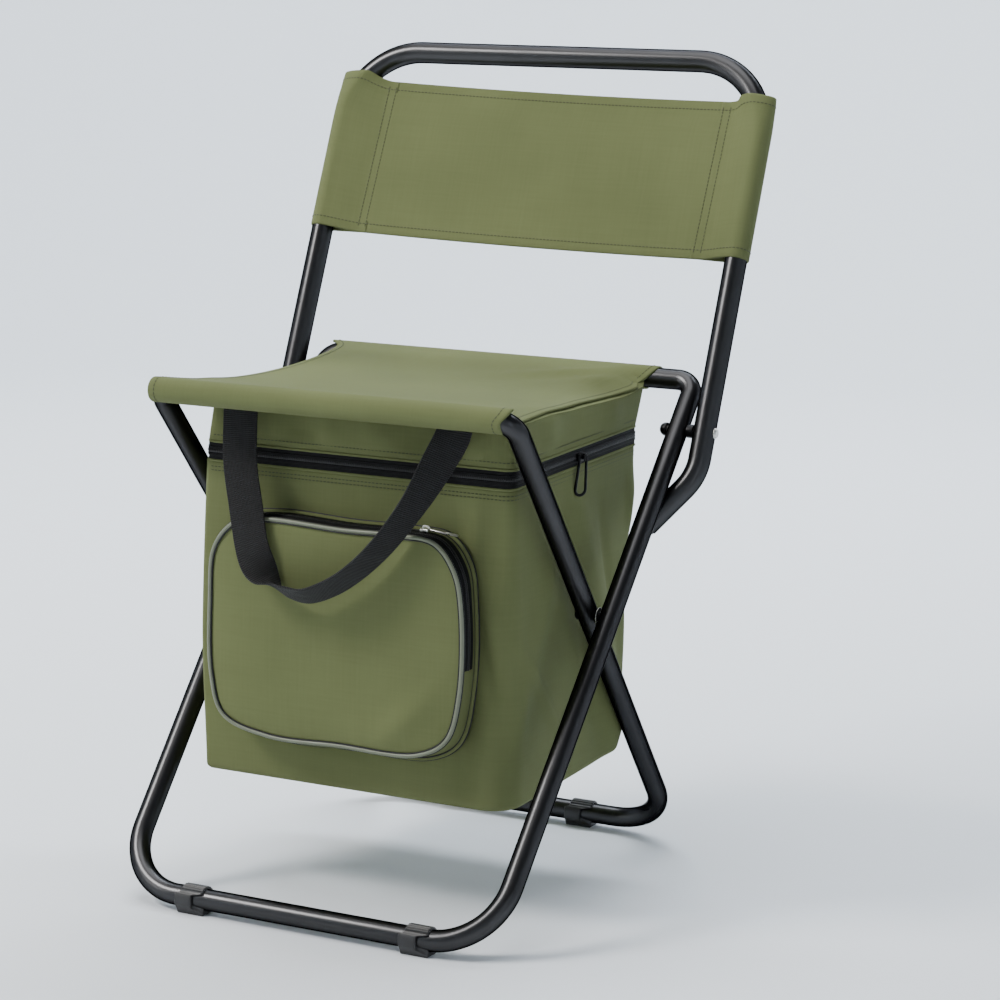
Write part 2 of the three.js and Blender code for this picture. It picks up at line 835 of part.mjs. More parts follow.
// A slider with a post that a ring pull hangs on; its back lies at X = 0 and the post points to +X
function postSliderGeometry() {
  const outline = roundedRectangle(
    -sliderLength / 2,
    sliderLength / 2,
    -sliderWidth / 2,
    sliderWidth / 2,
    sliderWidth / 4,
  );
  const block = loft([0, sliderThickness].map((x) => outline.map((point) => vec(x, point.x, point.y))));
  const postTop = sliderThickness + sliderPostHeight;
  const post = barAlongX(sliderThickness / 2, postTop + sliderCapThickness / 2, 0, 0, sliderPostDiameter / 2);
  const cap = barAlongX(postTop, postTop + sliderCapThickness, 0, 0, sliderCapDiameter / 2);
  return toGeometry(toSolid(block).add(toSolid(post)).add(toSolid(cap)));
}

// A long ring that hangs from a post at the origin, flat against the YZ plane
function ringPullGeometry() {
  const half = ringPullWidth / 2;
  const top = sliderPostDiameter / 2 + clearance + ringPullBar;
  const outer = roundedRectangle(-half, half, top - ringPullLength, top, half);
  const inner = roundedRectangle(
    -half + ringPullBar,
    half - ringPullBar,
    top - ringPullLength + ringPullBar,
    top - ringPullBar,
    half - ringPullBar,
  );
  const plate = (outline, from, to) => loft(
    [from, to].map((x) => outline.map((point) => vec(x, point.x, point.y))),
  );
  return cut(plate(outer, 0, ringPullThickness), plate(inner, -overrun, ringPullThickness + overrun));
}

// Front pocket

// The pocket's outline seen from the front, grown by an offset, at a place from front to back
function pocketRing(offset, y) {
  return roundedRectangle(
    pocketCentreX - pocketHalf - offset,
    pocketCentreX + pocketHalf + offset,
    pocketBottomHeight - offset,
    pocketTopHeight + offset,
    pocketCornerRadius + offset,
    6,
  ).map((point) => vec(point.x, y, point.y));
}

function addPocket() {
  const rearY = bagFrontY - clearance;
  const innerFrontY = pocketFrontY + pocketWall;
  const shell = loft([
    pocketRing(-pocketWall - pocketBulgeInset, innerFrontY - pocketBulge),
    pocketRing(-pocketWall, innerFrontY),
    pocketRing(-pocketWall, rearY),
    pocketRing(0, rearY),
    pocketRing(0, pocketFrontY + pocketWall),
    pocketRing(-pocketWall, pocketFrontY),
    pocketRing(-pocketBulgeInset, pocketFrontY - pocketBulge),
  ]);
  addPiece('pocket_shell', shell, materials.canvas);

  const pipingRadius = pipingDiameter / 2;
  const pipingOffset = pipingRadius + clearance;
  const pipings = [
    ['pocket_front_piping', pocketFrontY + pipingRadius],
    ['pocket_rear_piping', rearY - pipingRadius - clearance],
  ];
  pipings.forEach(([name, y]) => {
    const stations = loopStations(pocketRing(pipingOffset, y));
    addPiece(name, sweep(stations, circleOutline(pipingRadius, 8), vec(0, 1, 0), true), materials.piping);
  });

  const tapeOffset = clearance + pocketTapeThickness / 2;
  const tapeY = (pocketFrontY + rearY) / 2;
  const right = pocketCentreX + pocketHalf + tapeOffset;
  const top = pocketTopHeight + tapeOffset;
  const line = bentLine(
    [
      vec(pocketTapeStartX, tapeY, top),
      vec(right, tapeY, top),
      vec(right, tapeY, pocketTapeEndHeight),
    ],
    [0, pocketCornerRadius + tapeOffset, 0],
  );
  addPiece(
    'pocket_zip_tape',
    sweep(line, boxOutline(pocketTapeWidth, pocketTapeThickness), vec(0, 1, 0)),
    materials.zip,
  );

  const seat = pocketTopHeight + clearance + pocketTapeThickness + clearance;
  const slider = addPiece('pocket_zip_slider', lugSliderGeometry(), materials.blackMetal);
  slider.position.set(pocketSliderX, tapeY, seat);
  const pull = addPiece('pocket_zip_pull', tabPullGeometry(), materials.metal);
  pull.position.set(pocketSliderX + pocketSliderLength / 2, tapeY, seat + sliderThickness / 2);
}

// Stations through a closed ring of points, each heading along the chord between its neighbours
function loopStations(ring) {
  return ring.map((at, index) => {
    const before = ring[(index + ring.length - 1) % ring.length];
    const after = ring[(index + 1) % ring.length];
    return { at, along: after.clone().sub(before).normalize() };
  });
}

// A slider with two lugs at its end that hold the tab pull's cross bar between them
function lugSliderGeometry() {
  const outline = roundedRectangle(
    -pocketSliderLength / 2,
    pocketSliderLength / 2,
    -sliderWidth / 2,
    sliderWidth / 2,
    sliderWidth / 4,
  );
  const block = loft([0, sliderThickness].map((z) => outline.map((point) => vec(point.x, point.y, z))));
  const gap = tabPullWidth / 2 + clearance;
  const slot = new THREE.BoxGeometry(pocketSliderLength, 2 * gap, sliderThickness + 2 * overrun);
  slot.translate(pocketSliderLength - hingeBarDiameter - 2 * clearance, 0, sliderThickness / 2);
  return cut(block, slot);
}

// A flat tab that lies along +X from a hinge line along Y at the origin
function tabPullGeometry() {
  const bar = hingeBarDiameter / 2;
  const outline = roundedRectangle(
    -bar,
    tabPullLength - bar,
    -tabPullWidth / 2,
    tabPullWidth / 2,
    tabPullWidth / 4,
  );
  const plate = (from, to, points) => loft([from, to].map((z) => points.map((p) => vec(p.x, p.y, z))));
  const eye = roundedRectangle(
    tabPullLength / 2,
    tabPullLength - bar - hingeLugWidth,
    -tabPullWidth / 2 + hingeLugWidth,
    tabPullWidth / 2 - hingeLugWidth,
    hingeLugWidth / 2,
  );
  const half = tabPullThickness / 2;
  return cut(plate(-half, half, outline), plate(-overrun, overrun, eye));
}

// Webbing handle

// Places of the loop as shares of its spread, its drop, how far it stands forward of its top, and
// how far its face has turned to the floor
const strapRouteShares = [
  [-1, 0, 0, 0],
  [-0.96, 0.32, 0.15, 0],
  [-0.86, 0.58, 0.48, 0.1],
  [-0.755, 0.82, 0.7, 0.35],
  [-0.55, 0.975, 0.9, 0.8],
  [-0.2, 0.99, 1, 1],
  [0.22, 0.87, 1, 0.95],
  [0.53, 0.665, 0.9, 0.7],
  [0.73, 0.47, 0.62, 0.35],
  [0.855, 0.27, 0.25, 0.1],
  [1, 0, 0, 0],
];

// The band's ends are rounded over: shares of half its thickness up, and of its thickness left
const strapEndShares = [
  [1, 0.35],
  [0.72, 0.75],
];

// A flat band along stations that each give its facing direction and may give a thickness
function ribbon(stations) {
  const rings = stations.map(({ at, along, facing, thickness = strapThickness }) => {
    const other = along.clone().cross(facing);
    return boxOutline(thickness, strapWidth).map((point) => at.clone()
      .addScaledVector(facing, point.x)
      .addScaledVector(other, point.y));
  });
  return loft(rings);
}

function addStrap() {
  const front = vec(0, -1, 0);
  const route = new THREE.CatmullRomCurve3(strapRouteShares.map(([across, down, forward]) => vec(
    across * strapHalfSpread,
    strapTopY - forward * strapForward,
    strapHingeHeight - down * strapDrop,
  )), false, 'centripetal');
  const middle = Array.from({ length: strapSteps + 1 }, (_, step) => {
    const share = step / strapSteps;
    const along = route.getTangent(share);
    const place = share * (strapRouteShares.length - 1);
    const before = Math.min(Math.floor(place), strapRouteShares.length - 2);
    const turn = THREE.MathUtils.lerp(
      strapRouteShares[before][3],
      strapRouteShares[before + 1][3],
      place - before,
    );
    const facing = front.clone().projectOnPlane(along).normalize()
      .applyAxisAngle(along, turn * strapTurn);
    return { at: route.getPoint(share), along, facing };
  });
  const end = (side) => strapEndShares.map(([rise, left]) => ({
    at: vec(side * strapHalfSpread, strapTopY, strapHingeHeight + (rise * strapThickness) / 2),
    along: vec(0, 0, side),
    facing: front,
    thickness: left * strapThickness,
  }));
  addPiece(
    'carry_strap',
    ribbon([...end(-1), ...middle.slice(1, -1), ...end(1).reverse()]),
    materials.webbing,
  );

  const tabBottom = strapHingeHeight + strapThickness / 2 + clearance;
  const tabTop = seatTopAt(strapTopY + strapThickness) - seatPanelThickness - clearance;
  sides.forEach(([name, side]) => {
    const tab = [tabBottom, tabTop].map((height) => ({
      at: vec(side * strapHalfSpread, strapTopY, height),
      along: vec(0, 0, 1),
      facing: front,
    }));
    addPiece(`strap_tab_${name}`, ribbon(tab), materials.webbing);
  });
}

addFrames();
addCrossingPins();
addBackPins();
addFootClips();
addSeat();
addBackPanel();
addCoolerBag();
addCoolerZip();
addPocket();
addStrap();

// Stand the stool over the middle of its own length
const frontmost = outerLegs.floorY - tubeRadius - clipWall;
const rearmost = backPin.y + backSlopeLength * Math.sin(backTilt) + tubeRadius;
stool.position.y = -(frontmost + rearmost) / 2;

export default stool;
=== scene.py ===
"""Dresses the folding cooler stool: enamelled tubes, cloth, a zipped cooler bag and its handle.

Metres, in the frame's own axes: X runs across the stool, Y from front to back, Z up from the floor.
"""

import json
import math
import bpy
import numpy as np
from mathutils import Matrix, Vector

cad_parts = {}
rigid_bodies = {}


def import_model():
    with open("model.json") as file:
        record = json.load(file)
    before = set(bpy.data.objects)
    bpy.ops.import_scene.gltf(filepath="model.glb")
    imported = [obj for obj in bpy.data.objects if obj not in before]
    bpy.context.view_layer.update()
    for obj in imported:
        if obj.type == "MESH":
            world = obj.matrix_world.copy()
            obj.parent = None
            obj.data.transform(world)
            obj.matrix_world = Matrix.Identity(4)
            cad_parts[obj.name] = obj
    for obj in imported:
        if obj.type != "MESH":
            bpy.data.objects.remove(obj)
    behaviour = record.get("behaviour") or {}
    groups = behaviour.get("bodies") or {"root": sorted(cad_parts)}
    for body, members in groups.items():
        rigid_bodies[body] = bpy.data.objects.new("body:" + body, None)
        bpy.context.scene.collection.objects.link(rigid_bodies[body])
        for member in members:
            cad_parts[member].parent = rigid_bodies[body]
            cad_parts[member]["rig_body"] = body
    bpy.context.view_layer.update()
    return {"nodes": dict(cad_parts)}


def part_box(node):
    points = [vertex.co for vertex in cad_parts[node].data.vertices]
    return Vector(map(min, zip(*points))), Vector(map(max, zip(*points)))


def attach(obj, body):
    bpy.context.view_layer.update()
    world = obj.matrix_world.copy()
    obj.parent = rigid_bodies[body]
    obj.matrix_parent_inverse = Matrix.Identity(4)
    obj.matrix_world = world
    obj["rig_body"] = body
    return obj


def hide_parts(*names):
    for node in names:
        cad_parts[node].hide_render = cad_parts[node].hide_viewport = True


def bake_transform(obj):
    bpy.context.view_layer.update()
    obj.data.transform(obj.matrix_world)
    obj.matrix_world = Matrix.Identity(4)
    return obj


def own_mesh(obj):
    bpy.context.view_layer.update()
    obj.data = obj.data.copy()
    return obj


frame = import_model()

bl_info = {
    "name": "Folding Cooler Stool",
    "version": (1, 0, 0),
    "blender": (4, 5, 0),
    "location": "3D View > Sidebar > Stool",
    "description": "Builds the cloth, tubes, bag, zips and webbing of a folding cooler stool",
    "category": "Add Mesh",
}


def box_of(node, shift=(0, 0, 0)):
    """The lowest corner, the highest corner and the middle of a frame node's box, moved by a shift."""
    low, high = (np.array(corner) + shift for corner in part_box(node))
    return low, high, (low + high) / 2


def low_of(node):
    """The lowest corner of a frame node's box."""
    return box_of(node)[0]


def high_of(node):
    """The highest corner of a frame node's box."""
    return box_of(node)[1]


def middle_of(node):
    """The middle of a frame node's box."""
    return box_of(node)[2]


# Properties that a user may change


def length(name, description, default):
    """A size in metres."""
    return bpy.props.FloatProperty(
        name=name, description=description, default=default, unit="LENGTH", precision=4
    )


def angle(name, description, degrees):
    """An angle, whose default is given in degrees."""
    return bpy.props.FloatProperty(
        name=name, description=description, default=math.radians(degrees), subtype="ANGLE"
    )


def share(name, description, default):
    """A share from 0 to 1."""
    return bpy.props.FloatProperty(
        name=name, description=description, default=default, min=0.0, max=1.0, subtype="FACTOR"
    )


def colour(name, description, default):
    """A base colour."""
    return bpy.props.FloatVectorProperty(
        name=name, description=description, default=default, size=3, min=0.0, max=1.0, subtype="COLOR"
    )


class StoolFrameSizes(bpy.types.PropertyGroup):
    """Tubes, pins and foot clips."""

    tube_diameter: length("Tube diameter", "Outside diameter of the steel tube", 0.016)
    seat_bar_height: length("Seat bar height", "Height of both seat bars' centre lines", 0.377)
    floor_bar_height: length("Floor bar height", "Height of both floor bars' centre lines", 0.011)
    front_floor_bar: length(
        "Front floor bar", "Y of the front floor bar", middle_of("foot_clip_front_left")[1]
    )
    rear_floor_bar: length(
        "Rear floor bar", "Y of the rear floor bar", middle_of("foot_clip_rear_left")[1]
    )
    sleeve_radius: length("Sleeve radius", "Outside radius of the cloth round a tube", 0.0094)
    outer_top_half: length("Outer half width", "Half width of the outer loop at its seat bar", 0.162)
    leg_taper: length("Leg taper", "How much narrower each side stands at the floor", 0.0094)
    crossing_gap: length("Crossing gap", "Gap between the crossed legs", 0.0014)
    floor_bend_radius: length("Floor bend radius", "Bend radius at the floor bars", 0.05)
    seat_bend_radius: length("Seat bend radius", "Bend radius at the seat bars", 0.014)
    back_diameter: length("Back tube diameter", "Outside diameter of the backrest tube", 0.0175)
    back_sleeve_radius: length("Back sleeve radius", "Outside radius of the cloth round that tube", 0.0100)
    back_half: length("Back half width", "Half width of that tube", high_of("back_frame")[0] - 0.008)
    back_tilt: angle("Back tilt", "Lean of the backrest from upright", 22.0)
    back_top_height: length("Back top height", "Height of the top bar's centre line", 0.6176)
    back_bend_radius: length("Back bend radius", "Bend radius of the top bar's corners", 0.06)
    back_heel_drop: length("Back heel drop", "Tube below the back pin before its heel bend", 0.034)
    back_tip_drop: length("Back tip drop", "How far below the pin the tube ends behind the leg", 0.0645)
    back_heel_radius: length("Back heel radius", "Bend radius of the heel", 0.042)
    back_tip_reach: length("Back tip reach", "How far the tube runs on behind the leg", 0.013)
    back_rest_gap: length("Back rest gap", "Gap between the tube's tip and the leg", 0.0013)
    clip_wall: length("Clip wall", "Wall of the plastic foot clips", 0.0024)
    clip_base: length("Clip base", "Width of the clips' flat base", 0.0125)


class StoolClothSizes(bpy.types.PropertyGroup):
    """Seat cloth and back cloth."""

    thickness: length("Cloth thickness", "Thickness of the coated cloth", 0.0011)
    hem: length("Hem width", "Width of the turned hems", 0.0075)
    hem_stitch: length("Hem stitch", "From an edge to its row of stitches", 0.0052)
    seat_sag: length("Seat sag", "How far the middle of the seat hangs below its bars", 0.013)
    seat_flap: length("Seat flap", "Cloth lapped under the seat beyond each sleeve", 0.038)
    seat_front_left: length("Front left end", "X of the front sleeve's left end", -0.1480)
    seat_front_right: length("Front right end", "X of the front sleeve's right end", 0.1375)
    seat_rear_left: length("Rear left end", "X of the rear sleeve's left end", -0.158)
    seat_rear_right: length("Rear right end", "X of the rear sleeve's right end", 0.132)
    seat_waist: length("Seat waist", "How far the side edges draw in between the bars", 0.015)
    seat_droop: length("Edge droop", "How far the right edge drops behind the front bar", 0.009)
    seat_corner_drop: length("Seat corner drop", "How far it hangs at its rear right corner", 0.009)
    back_seam: length("Back seam", "From the middle to the outer row of each back seam", 0.1515)
    seam_gap: length("Seam gap", "Between the two rows of a back seam", 0.0062)
    seam_shift: length("Seam shift", "How far both back seams stand to the right", 0.0035)
    seam_lean: length("Seam lean", "How far the back seams lean to the right over their height", 0.0033)
    back_hem_stitch: length("Back hem stitch", "From the back cloth's edges to their stitches", 0.0068)
    back_sag: length("Back sag", "How far the back cloth gives in its middle", 0.005)


class StoolBagSizes(bpy.types.PropertyGroup):
    """Cooler bag, pocket, zips and handle."""

    front: length("Bag front", "Y of the bag's front", low_of("cooler_body")[1])
    zip_rear: length("Bag rear at the zip", "Y of the bag's rear at its zip", high_of("cooler_body")[1])
    rear_taper: length("Rear taper", "How much shorter the bag is at its floor", 0.021)
    lid_spread: length("Lid spread", "How much longer the lid is at its top", 0.014)
    floor_height: length("Bag floor height", "Height of the bag's floor at its front", 0.085)
    body_top: length("Body top", "Height of the body's rim at its front", 0.322)
    zip_band: length("Zip band", "Height of the zip band", 0.013)
    rear_lift: length("Rear lift", "How much higher the bag hangs at its rear", 0.007)
    top_half: length("Top half width", "Half width of the bag at its zip", high_of("cooler_lid")[0])
    floor_half: length("Floor half width", "Half width of the bag at its floor", 0.127)
    swell: length("Swell", "How far the bag's sides swell between floor and zip", 0.00225)
    wall: length("Bag wall", "Thickness of the bag's cloth and its lining", 0.0025)
    pocket_middle: length("Pocket middle", "X of the pocket's middle", -0.007)
    pocket_half: length("Pocket half width", "Half width of the pocket", 0.104)
    pocket_top: length("Pocket top", "Height of the pocket's top", 0.2852)
    pocket_bottom: length("Pocket bottom", "Height of the pocket's bottom", 0.1262)
    left_hang: length("Left hang", "How far the left wall hangs out towards the front", 0.006)
    pocket_depth: length("Pocket depth", "Depth of the pocket", 0.025)
    pocket_bulge: length("Pocket bulge", "How far the pocket's front swells", 0.003)
    piping_diameter: length("Piping diameter", "Diameter of the pocket's piping", 0.0031)
    strap_width: length("Strap width", "Width of the webbing handle", 0.0252)
    strap_thickness: length("Strap thickness", "Thickness of the webbing", 0.0018)


class StoolFoldSettings(bpy.types.PropertyGroup):
    """Sizes for flattening the bag when the legs fold, which no step of the script applies."""

    keep: share("Kept depth", "Share of the bag's depth that is left when the stool is folded", 0.12)
    behind: length("Behind the legs", "How far behind the outer legs the flattened bag lies", 0.02)


class StoolColours(bpy.types.PropertyGroup):
    """Base colours of the finishes."""

    cloth: colour("Cloth", "Olive cloth", (0.139, 0.157, 0.0687))
    cloth_dark: colour("Cloth shade", "Darker threads of the olive cloth", (0.103, 0.118, 0.050))
    # The thread is darker than the cloth so that each stitch row also paints the shade of its seam groove
    thread: colour("Thread", "Sewing thread", (0.030, 0.034, 0.010))
    enamel: colour("Enamel", "Gloss black enamel of the tubes", (0.055, 0.055, 0.057))
    plastic: colour("Plastic", "Foot clips and end plugs", (0.011, 0.011, 0.012))
    webbing: colour("Webbing", "Black webbing", (0.0055, 0.0053, 0.0055))
    zip_black: colour("Zip", "Zip tape and coil", (0.0055, 0.0055, 0.0058))
    piping: colour("Piping", "Grey green vinyl piping", (0.130, 0.145, 0.095))
    steel: colour("Steel", "Bright plated steel", (0.60, 0.60, 0.56))
    dark_steel: colour("Dark steel", "Black plated steel", (0.020, 0.020, 0.021))
    foil: colour("Foil", "Cooler lining", (0.66, 0.68, 0.70))
    foam: colour("Foam", "Insulating foam", (0.62, 0.63, 0.62))
    board: colour("Board", "Stiff board in the bag's floor", (0.060, 0.064, 0.050))
    floor: colour("Floor", "Studio floor", (0.74, 0.77, 0.80))
    sky: colour("Backdrop", "Light that surrounds the stool", (0.80, 0.88, 1.0))


SETTINGS = {
    "stool_frame": StoolFrameSizes,
    "stool_cloth": StoolClothSizes,
    "stool_bag": StoolBagSizes,
    "stool_fold": StoolFoldSettings,
    "stool_colours": StoolColours,
}


def settings(name):
    """One of the scene's groups of settings."""
    return getattr(bpy.context.scene, name)


# Lines and surfaces, worked out as whole arrays


def unit(vectors):
    """Vectors divided by their own lengths."""
    vectors = np.asarray(vectors, float)
    return vectors / np.linalg.norm(vectors, axis=-1, keepdims=True)


def lerp(a, b, t):
    """a + (b - a) t."""
    return a + (b - a) * t


def smooth(x, low, high):
    """3t^2 - 2t^3 of x between low and high, and level beyond them."""
    t = np.clip((np.asarray(x, float) - low) / (high - low), 0, 1)
    return t * t * (3 - 2 * t)


def bump(x, middle, width):
    """A bell, exp(-((x - middle) / width)^2)."""
    return np.exp(-(((np.asarray(x, float) - middle) / width) ** 2))


def bent_line(corners, radii, closed=False, steps=12):
    """Straight runs joined by arcs: round each corner the line turns on a circle of its radius.

    Returns the places and the unit directions along the line.
    """
    corners = np.asarray(corners, float)
    places, ways = [], []
    last = len(corners) - 1
    for index, (corner, radius) in enumerate(zip(corners, radii)):
        if not closed and index in (0, last):
            places.append(corner[None])
            ways.append(unit(corners[max(index, 1)] - corners[max(index, 1) - 1])[None])
            continue
        into = unit(corner - corners[index - 1])
        out = unit(corners[(index + 1) % len(corners)] - corner)
        turn = math.acos(np.clip(into @ out, -1, 1))
        inward = unit(out - (into @ out) * into)
        turned = np.linspace(0, turn, steps + 1)[:, None]
        start = corner - into * radius * math.tan(turn / 2)
        places.append(start + radius * (inward * (1 - np.cos(turned)) + into * np.sin(turned)))
        ways.append(into * np.cos(turned) + inward * np.sin(turned))
    return np.concatenate(places), np.concatenate(ways)


def run_of(line):
    """Distance along a line at each of its points."""
    return np.concatenate([[0], np.cumsum(np.linalg.norm(np.diff(line[:, :3], axis=0), axis=1))])


def spaced(line, count, *others):
    """A line resampled at count points an equal distance apart, and others resampled alike."""
    run = run_of(line)
    at = np.linspace(0, run[-1], count)
    columns = [np.stack([np.interp(at, run, c) for c in part.T], -1) for part in (line, *others)]
    return columns[0] if not others else columns


def closed_line(line):
    """A line with its first point repeated at its end."""
    return np.concatenate([line, line[:1]])


def smooth_line(points, count, closed=False):
    """A smooth line through points: cubic pieces whose end slopes allow for unequal spacing.

    The spacing is the square root of the distance in the first three columns; others follow along.
    """
    points = np.asarray(points, float)
    if closed:
        ends = np.concatenate([points[-1:], points, points[:2]])
    else:
        ends = np.concatenate([[2 * points[0] - points[1]], points, [2 * points[-1] - points[-2]]])
    span = np.linalg.norm(np.diff(ends[:, :3], axis=0), axis=1) ** 0.5
    pieces = len(ends) - 3
    place = np.linspace(0, pieces, count, endpoint=not closed)
    index = np.minimum(place.astype(int), pieces - 1)
    t = (place - index)[:, None]
    p0, p1, p2, p3 = (ends[index + k] for k in range(4))
    d0, d1, d2 = (span[index + k][:, None] for k in range(3))
    m1 = ((p1 - p0) / d0 - (p2 - p0) / (d0 + d1) + (p2 - p1) / d1) * d1
    m2 = ((p2 - p1) / d1 - (p3 - p1) / (d1 + d2) + (p3 - p2) / d2) * d1
    return p1 + m1 * t + (3 * (p2 - p1) - 2 * m1 - m2) * t**2 + (2 * (p1 - p2) + m1 + m2) * t**3


def circle(radius, sides=32):
    """A circle's points, anticlockwise."""
    around = np.arange(sides) * 2 * math.pi / sides
    return radius * np.stack([np.cos(around), np.sin(around)], -1)


def rounded_outline(width, height, radius, steps=4):
    """A rectangle with round corners about its middle, anticlockwise."""
    x, y = width / 2, height / 2
    return bent_line([(-x, -y), (x, -y), (x, y), (-x, y)], [radius] * 4, True, steps)[0]


def patch(grid, uv=None, wrap=(False, False)):
    """Quads over grid[row, column], facing rows crossed with columns; uv may hold one more of each."""
    rows, columns = grid.shape[:2]
    r, c = np.meshgrid(
        np.arange(rows if wrap[0] else rows - 1),
        np.arange(columns if wrap[1] else columns - 1),
        indexing="ij",
    )
    if uv is None:
        run = np.meshgrid(np.arange(rows + 1.0), np.arange(columns + 1.0), indexing="ij")
        uv = np.stack(run, -1) / 1000
    r1, c1 = (r + 1) % rows, (c + 1) % columns
    faces = np.stack([r * columns + c, r1 * columns + c, r1 * columns + c1, r * columns + c1], -1)
    corners = np.stack([uv[r, c], uv[r + 1, c], uv[r + 1, c + 1], uv[r, c + 1]], -2)
    return grid.reshape(-1, 3), faces.reshape(-1, 4), corners.reshape(-1, 4, 2)


def moved_copies(shape, places, axes):
    """Copies of one patch: each takes its x, y and z along its own three axes and lands on its place."""
    points, faces, uv = shape
    spread = np.einsum("pk,nkd->npd", points, axes) + places[:, None]
    count = len(places)
    step = np.arange(count)[:, None, None] * len(points)
    return spread.reshape(-1, 3), (faces[None] + step).reshape(-1, 4), np.tile(uv, (count, 1, 1))


def swept(line, ways, section, up, closed=False, scale=None):
    """A section carried along a line: section x goes along way x up, and y along side x way.

    Ways of None are the line's own. An open line is closed at both ends by shrinking the section.
    """
    ways = unit(line_ways(line, closed) if ways is None else ways)
    side = unit(np.cross(ways, up))
    lift = np.cross(side, ways)
    size = np.ones(len(line)) if scale is None else np.asarray(scale, float)
    if not closed:
        line = np.concatenate([line[:1], line, line[-1:]])
        side, lift = (np.concatenate([a[:1], a, a[-1:]]) for a in (side, lift))
        size = np.concatenate([[0], size, [0]])
    spread = section[None] * size[:, None, None]
    grid = line[:, None] + side[:, None] * spread[..., :1] + lift[:, None] * spread[..., 1:]
    path = closed_line(line) if closed else np.concatenate([line, line[-1:]])
    around = np.linalg.norm(np.diff(closed_line(section), axis=0), axis=1)
    v = np.broadcast_to(run_of(path)[: len(line) + 1, None], (len(line) + 1, len(section) + 1))
    u = np.broadcast_to(np.concatenate([[0], np.cumsum(around)])[None], v.shape)
    return patch(grid, np.stack([u, v], -1), (closed, True))


def line_ways(line, closed=False):
    """Unit directions along a line, from the points on either side."""
    if closed:
        return unit(np.roll(line, -1, 0) - np.roll(line, 1, 0))
    return unit(np.gradient(line, axis=0))


def turned(profile, place, way, radii=None, sides=40):
    """A profile of (along, radius) points turned about an axis through place along way."""
    points = np.asarray(profile, float)
    if radii is not None:
        points = bent_line(points, radii, False, 5)[0]
    way = unit(way)
    side = unit(np.cross(way, (0.3, 0.2, 1.0)))
    other = np.cross(way, side)
    around = np.arange(sides) * 2 * math.pi / sides
    spoke = side * np.cos(around)[:, None] + other * np.sin(around)[:, None]
    grid = np.asarray(place) + points[:, None, :1] * way + points[:, None, 1:] * spoke[None]
    turn = np.arange(sides + 1) * 2 * math.pi / sides * points[:, 1].max()
    u, v = np.meshgrid(run_of(points), turn, indexing="ij")
    return patch(grid[::-1], np.stack([u, v], -1)[::-1], (False, True))


# Pieces

# Points that round to the same multiple of this are joined
WELD = 1e-6
# Cloth is shaded smooth up to this angle, and the bag's walls grow inwards
CLOTH_ANGLE = 60.0
INWARD = -1.0


def make_piece(name, shapes, finish, smooth_angle=40.0, thickness=None, offset=0.0):
    """One mesh from patches, welded where they meet, with a wall if thickness is given."""
    counts = np.cumsum([0] + [len(shape[0]) for shape in shapes])
    points = np.concatenate([shape[0] for shape in shapes])
    faces = np.concatenate([shape[1] + start for shape, start in zip(shapes, counts)])
    uv = np.concatenate([shape[2] for shape in shapes])
    key = np.round(points / WELD).astype(np.int64)
    _, first, same = np.unique(key, axis=0, return_index=True, return_inverse=True)
    points, faces = points[first], same.reshape(-1)[faces]
    repeats = faces == np.roll(faces, -1, axis=1)
    triangles = repeats.any(1)
    whole = faces[~triangles]
    thin = triangles & (repeats.sum(1) == 1)
    kept = np.argsort(repeats[thin], axis=1, kind="stable")[:, :3]
    kept.sort(axis=1)
    three = np.take_along_axis(faces[thin], kept, 1)
    loops = np.concatenate([whole.ravel(), three.ravel()])
    totals = np.concatenate([np.full(len(whole), 4), np.full(len(three), 3)])
    flat_uv = np.concatenate(
        [uv[~triangles].reshape(-1, 2), np.take_along_axis(uv[thin], kept[..., None], 1).reshape(-1, 2)]
    )
    mesh = bpy.data.meshes.new(name)
    mesh.vertices.add(len(points))
    mesh.vertices.foreach_set("co", points.astype(np.float32).ravel())
    mesh.loops.add(len(loops))
    mesh.loops.foreach_set("vertex_index", loops.astype(np.int32))
    mesh.polygons.add(len(totals))
    mesh.polygons.foreach_set("loop_start", (np.cumsum(totals) - totals).astype(np.int32))
    layer = mesh.uv_layers.new(name="weave")
    layer.uv.foreach_set("vector", flat_uv.astype(np.float32).ravel())
    mesh.update(calc_edges=True)
    mesh.validate()
    mesh.shade_smooth()
    mesh.set_sharp_from_angle(angle=math.radians(smooth_angle))
    mesh.materials.append(finish)
    piece = bpy.data.objects.new(name, mesh)
    bpy.context.scene.collection.objects.link(piece)
    if thickness:
        wall = piece.modifiers.new("Cloth thickness", "SOLIDIFY")
        wall.thickness = thickness
        wall.offset = offset
    return piece


def seat_on(piece, slot, *nodes, body=None):
    """Sets a piece on the body of the nodes that it stands for, or on the body named."""
    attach(piece, body or frame["nodes"][nodes[0]]["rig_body"])
    if nodes:
        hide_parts(*nodes)
    return piece


def hang(name, shapes, finish, slot, *nodes, form=()):
    """A piece of the bag on its nodes' body, or on the outer frame if it stands for none.

    It flattens against the back of the outer legs as the stool folds. form holds make_piece's smooth
    form holds make_piece's smooth angle, thickness and offset.
    """
    piece = make_piece(name, shapes, finish, *form)
    seat_on(piece, slot, *nodes, body=None if nodes else "outer_frame")
    sizes, fold = settings("stool_frame"), settings("stool_fold")
    legs = LegLoop(sizes, outer=True)
    rise = sizes.seat_bar_height - sizes.floor_bar_height
    way = unit([0, -rise, legs.seat_y - legs.floor_y])
    anchor = middle_of("leg_pivot_pin_left") * (0, 1, 1) - way * fold.behind
    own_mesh(piece)
    return piece


STITCH_LENGTH = 0.002666
STITCH_PITCH = 0.0031
THREAD_RADIUS = 0.00042


